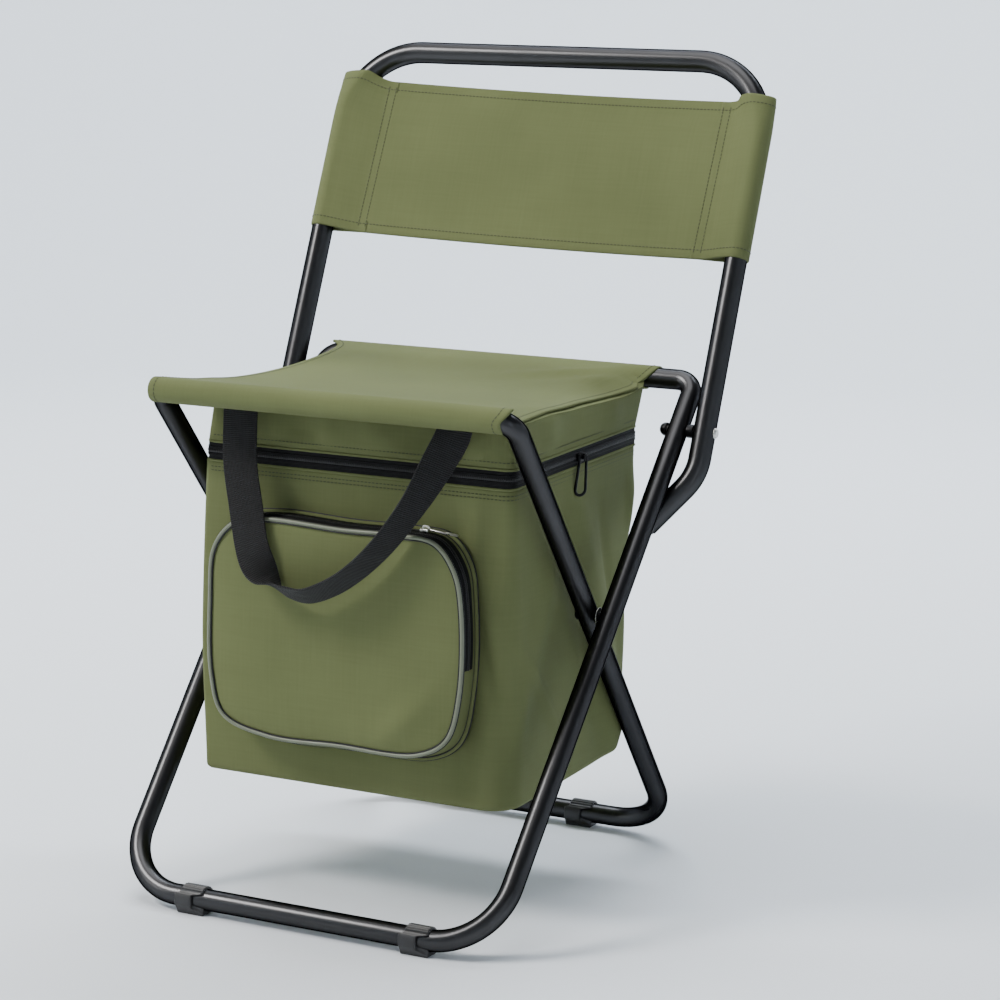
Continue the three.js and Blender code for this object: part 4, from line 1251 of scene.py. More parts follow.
def back_section(sizes, cloth):
    """The back cloth's line seen from above, right half and its mirror: X and distance to the front.

    A slack middle, 1 - s^2, runs into a double seam; beyond it the front layer meets the tube on its
    tangent, goes round it as an arc of the sleeve's middle radius and comes back behind to the seam.
    """

    def layer(x, start, end_x, end):
        """A layer's distance to the front, eased from the seam to its end on the arc."""
        rise = smooth(x, seam - 0.004, end_x + 0.006) ** 0.9
        return np.where(x <= seam, start, lerp(start, end, rise))

    radius = sizes.back_sleeve_radius - cloth.thickness / 2
    seam, half = cloth.back_seam, sizes.back_half
    gap = cloth.thickness * 0.62
    reach = half - seam
    reach -= bend_shift(BACK_UPPER[0], sizes) / 2
    lean = math.asin((radius - gap) / math.hypot(reach, gap)) + math.atan2(gap, reach)
    arc = np.linspace(math.pi / 2 + lean * 0.8, -math.pi / 2 - lean * 0.8, 26)
    arc_x, arc_f = half + radius * np.cos(arc), radius * np.sin(arc)
    s = np.linspace(0, 1, BACK_PANEL_COLUMNS // 2)
    inner = seam - cloth.seam_gap
    middle_x, middle_f = inner * s, -cloth.back_sag * (1 - s * s) + gap
    front_x = np.linspace(inner, arc_x[0], 12)[1:-1]
    front_f = layer(front_x, gap, arc_x[0], arc_f[0])
    rear_x = np.linspace(arc_x[-1], inner - 0.002, 12)[1:]
    rear_f = layer(rear_x, -gap, arc_x[-1], arc_f[-1])
    x = np.concatenate([middle_x, front_x, arc_x, rear_x])
    f = np.concatenate([middle_f, front_f, arc_f, rear_f])
    return np.concatenate([-x[:0:-1], x]), np.concatenate([f[:0:-1], f])


def bend_shift(v, sizes):
    """How far the backrest tube has bent inwards at distances up the back: R - sqrt(R^2 - rise^2)."""
    radius = sizes.back_bend_radius
    pin = middle_of("back_pin_right")
    start = (sizes.back_top_height - pin[2]) / math.cos(sizes.back_tilt) - radius
    rise = np.clip(v - start, 0, radius * 0.7)
    return radius - np.sqrt(radius**2 - rise**2)


def sleeve_share(x, sizes, cloth):
    """Share of the tube's inward bend that each column of the sleeve takes: none at its outer fold."""
    radius = sizes.back_sleeve_radius
    outer = np.clip((np.abs(x) - sizes.back_half) / radius, 0, 1)
    inner = smooth(np.abs(x), cloth.back_seam, sizes.back_half - radius * 0.3)
    return inner * (1 - outer**2) * np.sign(x)


def back_edges(x, sizes, cloth):
    """Distances up the back of the cloth's lower and upper edges, by X.

    Each edge slopes a little to the right, and the panel hangs below its sleeves from the seams in.
    """
    t = (x / sizes.back_half + 1) / 2
    inside = 1 - smooth(np.abs(x), cloth.back_seam - 0.004, sizes.back_half)
    upper = lerp(BACK_UPPER[0], BACK_UPPER[1], t) - BACK_DIP * inside
    lower = lerp(BACK_LOWER[0], BACK_LOWER[1], t) - BACK_DIP / 3 * inside
    return lower, upper


BACK_UPPER = (0.2762, 0.2682)
BACK_LOWER = (0.1432, 0.1372)
BACK_DIP = 0.0055
BACK_HEM_EDGE = 0.0022
BACK_RIPPLE = 0.0012


def build_back_cloth(sizes, cloth):
    """The back cloth on its grid: the section seen from above, carried up between its edges."""
    x_row, f_row = back_section(sizes, cloth)
    up, ahead = back_axes(sizes)
    pin = middle_of("back_pin_right") * (0, 1, 1)
    slope = np.gradient(f_row) / np.hypot(np.gradient(x_row), np.gradient(f_row))
    run_x = np.gradient(x_row) / np.hypot(np.gradient(x_row), np.gradient(f_row))
    facing_row = -slope[:, None] * np.array([1, 0, 0]) + run_x[:, None] * ahead
    lower, upper = back_edges(x_row, sizes, cloth)

    def place(v):
        """The section carried up to distances v, bent in with the tube and leaned."""
        wide = smooth(np.abs(x_row), cloth.back_seam - 0.01, cloth.back_seam - 0.06)[:, None]
        t = (v - lower[:, None]) / (upper - lower)[:, None]
        soft = BACK_RIPPLE * np.sin(9 * t + 30 * x_row[:, None])
        soft = soft * (1 - smooth(np.abs(x_row), 0.1, 0.15))[:, None]
        ahead_by = f_row[:, None] + soft * (1 - wide) * np.sin(math.pi * np.clip(t, 0, 1))
        across = x_row[:, None] - sleeve_share(x_row, sizes, cloth)[:, None] * bend_shift(v, sizes)
        tube = sizes.back_half - sizes.back_diameter / 2
        even = 1 - smooth(np.abs(x_row), cloth.back_seam + 0.002, tube)
        lean = cloth.seam_shift + cloth.seam_lean * (t - 0.5)
        across = across + even[:, None] * lean
        return pin + across[..., None] * (1, 0, 0) + v[..., None] * up + ahead_by[..., None] * ahead

    def normal(v):
        """The section's own normals at every distance."""
        return np.broadcast_to(facing_row[:, None], (*v.shape, 3))

    fold = cloth.thickness * 0.6
    width = (lower, upper)
    hem, row = cloth.back_hem_stitch + BACK_HEM_EDGE, cloth.back_hem_stitch
    grid, facing, uv, hems = hemmed_sheet(place, normal, width, 22, hem, row, fold)
    return grid, facing, uv, hems, x_row, f_row


class STOOL_OT_back_cloth(bpy.types.Operator):
    """Build the back cloth: a panel with a sleeve round each tube, double seams and stitched hems"""

    bl_idname = "stool.back_cloth"
    bl_label = "Back Cloth"

    def execute(self, context):
        sizes, cloth = settings("stool_frame"), settings("stool_cloth")
        grid, facing, uv, hems, x_row, f_row = build_back_cloth(sizes, cloth)
        back = make_piece("back_cloth", [patch(grid, uv)], olive_cloth(), CLOTH_ANGLE, cloth.thickness)
        outside = grid + facing * cloth.thickness / 2
        rows = [stitch_row(outside[:, c], facing[:, c]) for c in hems]
        top = slice(hems[0] - 1, hems[1] + 2)
        layers = (f_row > -cloth.thickness, f_row < 0)
        for seam in (cloth.back_seam, cloth.back_seam - cloth.seam_gap):
            for sign, layer in ((sign, layer) for sign in (-1, 1) for layer in layers):
                column = np.where(layer, np.abs(x_row - sign * seam), 1.0).argmin()
                rows.append(stitch_row(outside[column, top], facing[column, top]))
        stitching = make_piece("back_stitching", rows, sewing_thread())
        seat_on(back, "canvas", "back_panel")
        seat_on(stitching, "canvas", body="back_rest")
        run = float(run_of(np.stack([x_row, f_row], -1))[-1])
        flat = (run, float(grid[..., 2].max() - grid[..., 2].min() + 2 * cloth.hem))
        return {"FINISHED"}


# Cooler bag


def lean_height(y, bag):
    """The bag hangs a little higher towards its rear."""
    return bag.rear_lift * (y - bag.front) / (bag.zip_rear - bag.front)


def plan_ring(half, front, rear, radii, steps=8):
    """A round-cornered plan, anticlockwise from the middle of its rear, for arrays of sizes.

    radii holds rear left, front left, front right and rear right. Each corner is a quarter circle.
    """
    half, front, rear = (np.atleast_1d(a).astype(float) for a in np.broadcast_arrays(half, front, rear))
    radii = [np.broadcast_to(r, half.shape) for r in radii]
    centres = [(-1, 1), (-1, -1), (1, -1), (1, 1)]
    turn = np.linspace(0, math.pi / 2, steps + 1)
    middle = np.stack([0 * half, rear], -1)[:, None]
    blocks = [middle]
    straight = [25, 42, 50, 42, 25]
    ends = []
    for index, ((sx, sy), r) in enumerate(zip(centres, radii)):
        start = math.pi / 2 * (index + 1)
        centre = np.stack([sx * (half - r), np.where(sy > 0, rear - r, front + r)], -1)
        spoke = np.stack([np.cos(start + turn), np.sin(start + turn)], -1)
        ends.append(centre[:, None] + r[:, None, None] * spoke)
    chain = [middle, *ends, middle]
    for index, count in enumerate(straight):
        t = (np.arange(1, count) / count)[None, :, None]
        blocks.append(lerp(chain[index][:, -1:], chain[index + 1][:, :1], t))
        if index < 4:
            blocks.append(chain[index + 1])
    return np.concatenate(blocks, 1)


def hang_out(x, y, height, bag):
    """How far the left wall hangs out: none at the seat, most from the zip down, least at the rear."""
    down = 1 - smooth(height, bag.body_top, bag.body_top + 0.055)
    low = 1 - 0.62 * smooth(bag.body_top - height, 0.12, 0.237)
    left = smooth(-x, 0.04, bag.top_half)
    ahead = 1 - 0.85 * smooth(y, bag.front + 0.02, bag.zip_rear - 0.04)
    return bag.left_hang * down * low * left * ahead


REAR_PINCH = 0.010


def bag_sizes_at(height, bag):
    """Half width and rear of the bag's body at heights: straight from floor to zip, plus a swell.

    The rear wall is pinched in, as a bell above its middle.
    """
    t = (height - bag.floor_height) / (bag.body_top - bag.floor_height)
    half = lerp(bag.floor_half, bag.top_half, t) + bag.swell * 4 * t * (1 - t)
    return half, lerp(bag.zip_rear - bag.rear_taper, bag.zip_rear, t) - REAR_PINCH * bump(t, 0.64, 0.2)


def body_rings(bag, top, bottom, rows, inset=0.0, edge=0.0045):
    """Plans of the bag's body from a top height down round the floor's edge to its middle line."""
    wall = np.linspace(top, bottom + edge, rows)
    turn = np.linspace(0, math.pi / 2, 7)[1:]
    height = np.concatenate([wall, bottom + edge - edge * np.sin(turn)])
    step = np.concatenate([0 * wall, edge * (1 - np.cos(turn))]) + inset
    half, rear = bag_sizes_at(height, bag)
    soft = smooth((bag.body_top - height) / (bag.body_top - bag.floor_height), 0.1, 0.9)
    at_rim, grow = (0.010 - inset / 2, 0.005, 0.009, 0.010), (0, -0.001, 0.013, 0.004)
    radii = [np.maximum(r + more * soft - step / 3, 0.002) for r, more in zip(at_rim, grow)]
    ring = plan_ring(half - step, bag.front + step, rear - step, radii)
    z = height[:, None] + lean_height(ring[..., 1], bag)
    ring[..., 0] -= hang_out(ring[..., 0], ring[..., 1], height[:, None], bag)
    grid = np.concatenate([ring, z[..., None]], -1)
    centre = grid[-1].mean(0)
    inward = np.linspace(1, 0, 20)[1:, None, None]
    floor = centre + (grid[-1] - centre) * inward
    return np.concatenate([grid, floor])


def ring_uv(grid):
    """The map of a wrapped grid in metres: round its first ring, and down its first column."""
    around = run_of(closed_line(grid[0]))
    down = np.concatenate([run_of(grid[:, 0]), [0]])
    u, v = np.meshgrid(around, down)
    return np.stack([u, v], -1)


def relief(grid, height_of):
    """Moves a wrapped grid along its own outward normals by height_of(x, y, z)."""
    along = np.roll(grid, -1, 1) - np.roll(grid, 1, 1)
    down = np.gradient(grid, axis=0)
    out = np.cross(down, along)
    long = np.linalg.norm(out, axis=-1, keepdims=True)
    out = np.where(long > 1e-12, out / np.maximum(long, 1e-12), 0)
    return grid + out * height_of(grid[..., 0], grid[..., 1], grid[..., 2])[..., None]


# What the folds of the body and of the lid are multiplied by
FOLD_DEPTH = 1.7
PUCKER_DEPTH = 2.6


def body_folds(bag):
    """Soft folds of the bag's walls, as a function of place.

    Each fold is a bell across a slanting line on one wall, and most fade along that line. All fade
    out at the floor and at the rim.
    """

    def height_of(x, y, z):
        """Bells on each wall, times that wall's share of a place."""
        t = np.clip((z - bag.floor_height) / (bag.body_top - bag.floor_height), 0, 1)
        wall = smooth(t, 0.0, 0.12) * (1 - smooth(t, 0.86, 0.99))
        front = smooth(bag.front + 0.012 - y, 0, 0.008)
        right = smooth(x - bag.top_half + 0.004, 0, 0.006)
        left = smooth(-x - bag.top_half + 0.004, 0, 0.006)
        rear = smooth(y - bag.zip_rear + bag.rear_taper + 0.004, 0, 0.008)
        slant, level = y + 0.42 * (z - 0.2), y + 0.3 * (z - 0.2)
        on_front = (
            0.0016 * bump(x, 0.108, 0.011) * smooth(t, 0.1, 0.35) * (1 - smooth(t, 0.55, 0.9))
            - 0.0022 * bump(x, 0.092 - 0.012 * t, 0.010)
            + 0.0010 * bump(x + 0.15 * z, 0.0, 0.02) * (1 - smooth(t, 0.1, 0.25))
            + 0.0019 * bump(x + 0.05 * t, 0.141, 0.0060) * bump(t, 0.50, 0.22)
            - 0.0016 * bump(x + 0.05 * t, 0.130, 0.0050) * bump(t, 0.46, 0.18)
        )
        on_right = (
            0.0022 * bump(slant, 0.030, 0.016)
            - 0.0018 * bump(slant, -0.004, 0.014)
            + 0.0016 * bump(y - 0.5 * (z - 0.2), -0.085, 0.014) * (1 - smooth(t, 0.6, 0.95))
            + 0.0020 * bump(y + 0.9 * (z - 0.16), -0.066, 0.008) * bump(t, 0.32, 0.2)
            - 0.0016 * bump(level, 0.052, 0.007) * bump(t, 0.62, 0.24)
        )
        on_left = 0.0018 * bump(level, -0.02, 0.02) + 0.0014 * bump(y, 0.05, 0.014)
        on_rear = 0.0018 * bump(x + 0.2 * z, -0.03, 0.02) + 0.0016 * bump(x - 0.3 * z, 0.04, 0.018)
        folds = front * on_front + right * on_right + left * on_left + rear * on_rear
        return FOLD_DEPTH * folds * wall

    return height_of


HEM_ROLL = 0.0011
HEM_PROUD = 0.0003
STITCH_PROUD = 0.0001
BODY_STITCH_DROPS = (0.0052, 0.0080)
LID_STITCH_RISE = 0.0056
BAG_ROWS = 56


def rim_line(bag, height, proud, count=420):
    """The bag's line round left side, front and right side at a height of its front, pushed outwards."""
    half = bag.top_half + proud
    front, rear, radius = bag.front - proud, bag.zip_rear - 0.008, 0.008 + proud
    corners = [(-half, rear), (-half, front), (half, front), (half, rear)]
    line, ways = bent_line(corners, [0, radius, radius, 0], False, 12)
    line, ways = spaced(line, count, ways)
    z = height + lean_height(line[:, 1], bag)
    out = np.stack([ways[:, 1], -ways[:, 0], 0 * z], -1)
    x = line[:, 0] - hang_out(line[:, 0], line[:, 1], height, bag)
    return np.column_stack([x, line[:, 1], z]), unit(out)


def rim_trim(bag, name, edge, heights):
    """The rolled hem along a rim and the stitch rows beside it, at their heights on the bag's front."""
    hem, _ = rim_line(bag, edge, HEM_PROUD)
    section = rounded_outline(HEM_ROLL * 1.3, HEM_ROLL * 1.7, HEM_ROLL * 0.6)
    hang(f"{name}_rim_hem", [swept(hem, None, section, (0, 0, 1))], olive_cloth(), "canvas")
    rows = [stitch_row(*rim_line(bag, height, STITCH_PROUD)) for height in heights]
    hang(f"{name}_stitching", rows, sewing_thread(), "canvas")


class STOOL_OT_bag_body(bpy.types.Operator):
    """Build the bag's body with its soft walls, turned rim and stitch rows"""

    bl_idname = "stool.bag_body"
    bl_label = "Bag Body"

    def execute(self, context):
        bag = settings("stool_bag")
        grid = relief(body_rings(bag, bag.body_top, bag.floor_height, BAG_ROWS), body_folds(bag))
        shape = patch(grid, ring_uv(grid), (False, True))
        form = (CLOTH_ANGLE, bag.wall, INWARD)
        hang("bag_body", [shape], olive_cloth(), "canvas", "cooler_body", form=form)
        heights = [bag.body_top - drop for drop in BODY_STITCH_DROPS]
        rim_trim(bag, "bag", bag.body_top - HEM_ROLL / 2, heights)
        return {"FINISHED"}


def lid_grid(bag, sizes, cloth, rows=16):
    """The lid's wall from just under the seat cloth down to the zip, pleated softly on its front."""
    t = np.linspace(0, 1, rows)
    low = bag.body_top + bag.zip_band
    rear = lerp(bag.zip_rear + bag.lid_spread, bag.zip_rear, t)
    ring = plan_ring(bag.top_half + 0 * t, bag.front + 0 * t, rear, [0.009, 0.006, 0.008, 0.009])
    x, y = ring[..., 0], ring[..., 1]
    high = seat_under(x, y, sizes, cloth)
    bottom = low + lean_height(y, bag)
    z = lerp(high, bottom, t[:, None])
    grid = np.stack([x - hang_out(x, y, z - lean_height(y, bag), bag), y, z], -1)
    inward = np.linspace(0, 1, 10)[:-1, None, None]
    flat = np.stack([0 * x[:1], 0 * y[:1] + y.mean()], -1)
    plan = lerp(flat, ring[:1], inward)
    top = seat_under(plan[..., 0], plan[..., 1], sizes, cloth)
    return np.concatenate([np.concatenate([plan, top[..., None]], -1), grid])


def seat_under(x, y, sizes, cloth):
    """Height just below the seat cloth at a place."""
    s = seat_share(y, sizes)
    sag = cloth.seat_sag * (1 + SEAT_LOPSIDE * x / sizes.outer_top_half)
    drop = seat_edge_drop(x, y, sizes, cloth)
    return sizes.seat_bar_height + sizes.sleeve_radius - sag * (1 - s * s) - 2.6 * cloth.thickness - drop


# Each pucker's height, middle and width, by X on the lid's front and by Y on its sides
FRONT_PUCKERS = (
    (0.0013, -0.075, 0.010),
    (0.0016, -0.026, 0.009),
    (0.0014, 0.012, 0.012),
    (0.0016, 0.092, 0.008),
    (-0.0014, -0.048, 0.012),
    (-0.0012, 0.05, 0.02),
)
SIDE_PUCKERS = ((0.0012, -0.06, 0.014), (-0.001, -0.02, 0.02), (0.001, 0.05, 0.016))


def bells(x, rows):
    """A sum of bells, each with its height, middle and width."""
    return sum(height * bump(x, middle, width) for height, middle, width in rows)


def lid_folds(bag):
    """Upright puckers on the lid's front and sides: bells of several widths, faded towards the zip."""

    def height_of(x, y, z):
        """Bells by X on the front and by Y on the sides."""
        t = np.clip((z - bag.body_top - bag.zip_band) / 0.035, 0, 1)
        front = smooth(bag.front + 0.012 - y, 0, 0.008)
        side = smooth(np.abs(x) - bag.top_half + 0.004, 0, 0.006)
        puckers = front * bells(x, FRONT_PUCKERS) + side * bells(y, SIDE_PUCKERS)
        return PUCKER_DEPTH * puckers * smooth(t, 0.08, 0.5) * (1 - smooth(t, 0.75, 1.0))

    return height_of


class STOOL_OT_lid(bpy.types.Operator):
    """Build the lid under the seat, its turned rim and the strip that hinges it"""

    bl_idname = "stool.lid"
    bl_label = "Lid"

    def execute(self, context):
        bag, sizes, cloth = (settings(n) for n in ("stool_bag", "stool_frame", "stool_cloth"))
        grid = relief(lid_grid(bag, sizes, cloth), lid_folds(bag))
        shape = patch(grid, ring_uv(grid[::-1])[::-1], (False, True))
        form = (CLOTH_ANGLE, bag.wall / 2, INWARD)
        hang("lid_cloth", [shape], olive_cloth(), "canvas", "cooler_lid", form=form)
        rim = bag.body_top + bag.zip_band
        rim_trim(bag, "lid", rim + HEM_ROLL / 2, [rim + LID_STITCH_RISE])
        low, high, _ = box_of("cooler_rear_strip")
        across, down = np.meshgrid(np.linspace(low[0], high[0], 60), np.linspace(high[2], low[2], 8))
        ripple = 0.0005 * np.sin(across * 160) + 0.0004 * np.sin(down * 900)
        strip = np.stack([-across, high[1] - bag.wall / 2 + ripple, down], -1)
        strip = patch(strip, np.stack([across, down], -1))
        form = (CLOTH_ANGLE, bag.wall * 0.8, INWARD)
        hang("rear_hinge_strip", [strip], olive_cloth(), "canvas", "cooler_rear_strip", form=form)
        return {"FINISHED"}


PAD_INSET = 0.005
PAD_QUILT = 0.0003
LINER_GAP = 0.0036
LINER_WALL = 0.0038
LINER_DROP = 0.0002


def pad_shape(node, bag, pillow):
    """A foam pad in a node's box: a plan with round corners whose faces swell as 1 - s^6."""
    low, high, _ = box_of(node)
    s = np.concatenate([np.linspace(0, 1, 14), np.linspace(1, 0, 14)])
    top = np.arange(28) < 14
    ring = plan_ring(high[0] - PAD_INSET, low[1] + PAD_INSET, high[1] - 0.004, [0.008] * 4)
    middle = ring.mean(1, keepdims=True)
    plan = middle + (ring - middle) * np.minimum(s, 0.999)[:, None, None]
    thick = (high[2] - low[2] - bag.rear_lift) / 2
    centre = low[2] + thick + lean_height(plan[..., 1], bag)
    edge = thick * np.clip(1 - s**6, 0, 1)[:, None] ** 0.5
    z = np.where(top[:, None], centre + edge, centre - edge)
    quilt = np.sin(plan[..., 0] * 60) * np.sin(plan[..., 1] * 60)
    z = z + pillow * quilt * (1 - s[:, None]) * top[:, None]
    grid = np.concatenate([plan, z[..., None]], -1)
    return patch(grid, ring_uv(grid), (False, True))


class STOOL_OT_lining(bpy.types.Operator):
    """Build the foil-faced foam tub, the board in its floor and the pad in the lid"""

    bl_idname = "stool.lining"
    bl_label = "Cooler Lining"

    def execute(self, context):
        bag = settings("stool_bag")
        inset = bag.wall + LINER_GAP
        outer, inner = (
            body_rings(bag, bag.body_top - LINER_DROP, bag.floor_height + step, 24, step)
            for step in (inset, inset + LINER_WALL)
        )
        tub = np.concatenate([inner[::-1], outer])
        tub = patch(tub, ring_uv(tub), (False, True))
        form = (CLOTH_ANGLE,)
        liner = hang("foam_liner", [tub], cooler_foil(), "liner_foil", "cooler_liner", form=form)
        shape = pad_shape("cooler_lid_pad", bag, PAD_QUILT)
        pad = hang("lid_foam_pad", [shape], insulating_foam(), "liner_foil", "cooler_lid_pad", form=form)
        shape = pad_shape("cooler_base_board", bag, 0.0)
        hang("base_board", [shape], floor_board(), "base_board", "cooler_base_board")
        return {"FINISHED"}


# Zips

COIL_PITCH = 0.0015
COIL_RADIUS = 0.0011


def coil(line, normals, pitch=COIL_PITCH):
    """A closed zip coil: two rows of teeth as a ridge whose size swells by |sin| at every pitch."""
    count = int(run_of(line)[-1] / pitch) * 4 + 1
    line, normals = spaced(line, count, normals)
    size = 0.72 + 0.28 * np.abs(np.sin(np.arange(count) * math.pi / 4))
    section = circle(COIL_RADIUS, 8) * (1.5, 0.8)
    return swept(line, None, section, unit(normals), scale=size)


def runner_body(start, end, section, up, waist, steps):
    """A slider's body between two points: narrowed in its middle and rounded off as sqrt(1 - s^8)."""
    s = np.linspace(-1, 1, steps)
    line = (start + end) / 2 + s[:, None] * (end - start) / 2
    size = (waist + (1 - waist) * s**2) * np.sqrt(np.clip(1 - s**8, 0.02, 1))
    return swept(line, None, section, up, scale=size)


# How far the main zip's tape, coil and lips stand out of the bag, and the lips above and below
TAPE_PROUD = -0.0005
COIL_PROUD = 0.0002
LIP_PROUD = 0.00035
LIP_STEP = 0.0024
TAPE_WALL = 0.0014

# Both zips' runners have round edges, and the main one rests a little behind its solid
RUNNER_EDGE = 0.0009
RUNNER_REST = 0.004
# The ring hangs turned a little towards the front, and its foot leans forward by a share of its drop
RING_YAW = math.radians(-35)
RING_LEAN = 0.16
RING_BAR = 0.0011


class STOOL_OT_main_zip(bpy.types.Operator):
    """Build the main zip's band and coil round the bag, its slider and its ring pull"""

    bl_idname = "stool.main_zip"
    bl_label = "Main Zip"

    def execute(self, context):
        bag = settings("stool_bag")
        middle = bag.body_top + bag.zip_band / 2
        line, out = rim_line(bag, middle, TAPE_PROUD)
        tape = swept(line, None, rounded_outline(bag.zip_band, TAPE_WALL, 0.0005), out)
        hang("main_zip_band", [tape], zip_weave(), "zip_tape", "cooler_zip_tape")
        line, out = rim_line(bag, middle, COIL_PROUD)
        hang("main_zip_coil", [coil(line, out)], zip_coil(), "zip_tape")
        flaps = []
        for offset in (-LIP_STEP, LIP_STEP):
            lip, out = rim_line(bag, middle + offset, LIP_PROUD)
            flaps.append(swept(lip, None, rounded_outline(0.0022, 0.0009, 0.0004), out))
        hang("main_zip_lips", flaps, zip_weave(), "zip_tape")
        self.slider_and_pull()
        return {"FINISHED"}

    def slider_and_pull(self):
        """A bevelled body with a waist and a bridge, and a long oval ring that hangs from its post."""
        rest = (0, RUNNER_REST, 0)
        low, high, middle = box_of("cooler_zip_slider", rest)
        deep = (high[0] - low[0]) * 0.5
        ends = (np.array([low[0] + deep / 2, y, middle[2]]) for y in (low[1], high[1]))
        section = rounded_outline(deep, high[2] - low[2], RUNNER_EDGE, 5)[::-1, ::-1]
        body = runner_body(*ends, section, (1, 0, 0), 0.82, 17)
        post_x = low[0] + deep * 0.8
        reach = high[0] - post_x
        neck = reach * 0.8
        post = turned(
            [(0, 0), (0, 0.0012), (neck, 0.0012), (neck, 0.003), (reach, 0.0022), (reach, 0)],
            (post_x, middle[1], middle[2]),
            (1, 0, 0),
            [0, 0, 0.0002, 0.0002, 0.0004, 0],
            24,
        )
        hang("main_zip_runner", [body, post], dark_steel(), "black_metal", "cooler_zip_slider")
        low, high, (x, y, _) = box_of("cooler_zip_pull", rest)
        half = (high[1] - low[1]) / 2 - RING_BAR
        top, bottom = high[2] - RING_BAR, low[2] + RING_BAR
        corners = [(x, y - half * 0.75, top), (x, y - half * 1.35, bottom)]
        corners += [(x, y + half * 1.35, bottom), (x, y + half * 0.75, top)]
        line, _ = bent_line(corners, [half * 0.7, half * 1.2, half * 1.2, half * 0.7], True, 10)
        lean = (top - line[:, 2]) * RING_LEAN
        side = line[:, 1] - y
        line = np.column_stack(
            [x - side * math.sin(RING_YAW), y + side * math.cos(RING_YAW) - lean, line[:, 2]]
        )
        ring = swept(line, None, circle(RING_BAR, 12), (1, 0, 0), closed=True)
        hang("main_zip_ring", [ring], dark_steel(), "pull_steel", "cooler_zip_pull")


# Front pocket


# The pocket's outline as shares of its half width and half height, from its upper left, anticlockwise
POCKET_SHARES = (
    (-0.785, 0.94),
    (-0.945, 0.698),
    (-0.98, 0.184),
    (-0.965, -0.511),
    (-0.871, -0.857),
    (-0.51, -1.0),
    (0.06, -0.993),
    (0.685, -0.973),
    (0.905, -0.807),
    (0.997, -0.388),
    (1.0, 0.388),
    (0.941, 0.725),
    (0.794, 0.951),
    (0.527, 0.986),
    (0.079, 0.98),
    (-0.54, 1.0),
)
POCKET_DROOP = 0.007
POCKET_RISE = 0.0024
POCKET_LEFT_SPREAD = 0.006
POCKET_CORNER_SPREAD = 0.002
POCKET_EASE = 0.0015
POCKET_WALL = 0.0016
GUSSET_SWELL = 0.0012
BAG_GAP = 0.0003


def pocket_outline(bag, offset, rear_share=0.0, count=240):
    """The pocket's outline from the front, grown by an offset, anticlockwise from its upper left.

    Towards the bag (rear_share 1) its bottom droops, its top rises and two of its corners spread.
    """
    half_height = (bag.pocket_top - bag.pocket_bottom) / 2
    shares = np.array(POCKET_SHARES)
    line = smooth_line(shares * (bag.pocket_half, half_height), 8 * count, True)
    line = spaced(closed_line(line), count + 1)[:-1]
    ways = line_ways(line, True)
    a, b = line[:, 0] / bag.pocket_half, line[:, 1] / half_height
    line = line + offset * np.stack([ways[:, 1], -ways[:, 0]], -1)
    low_left = smooth(-b, -0.4, 0.7) * smooth(-a, 0.2, 0.9)
    shift = POCKET_CORNER_SPREAD * smooth(a, 0.5, 0.95) * smooth(b, 0.3, 0.8)
    x = line[:, 0] + rear_share * (shift - POCKET_LEFT_SPREAD * low_left)
    rise = POCKET_RISE * smooth(b, 0.2, 0.9) - POCKET_DROOP * smooth(-b, 0.2, 1.0)
    z = line[:, 1] + rear_share * rise
    return np.stack([x + bag.pocket_middle, z + (bag.pocket_top + bag.pocket_bottom) / 2], -1)


def pocket_loop(bag, offset, y, rear_share):
    """The pocket's outline as a line in the frame's axes."""
    outline = pocket_outline(bag, offset, rear_share)
    return np.stack([outline[:, 0], 0 * outline[:, 0] + y, outline[:, 1]], -1)


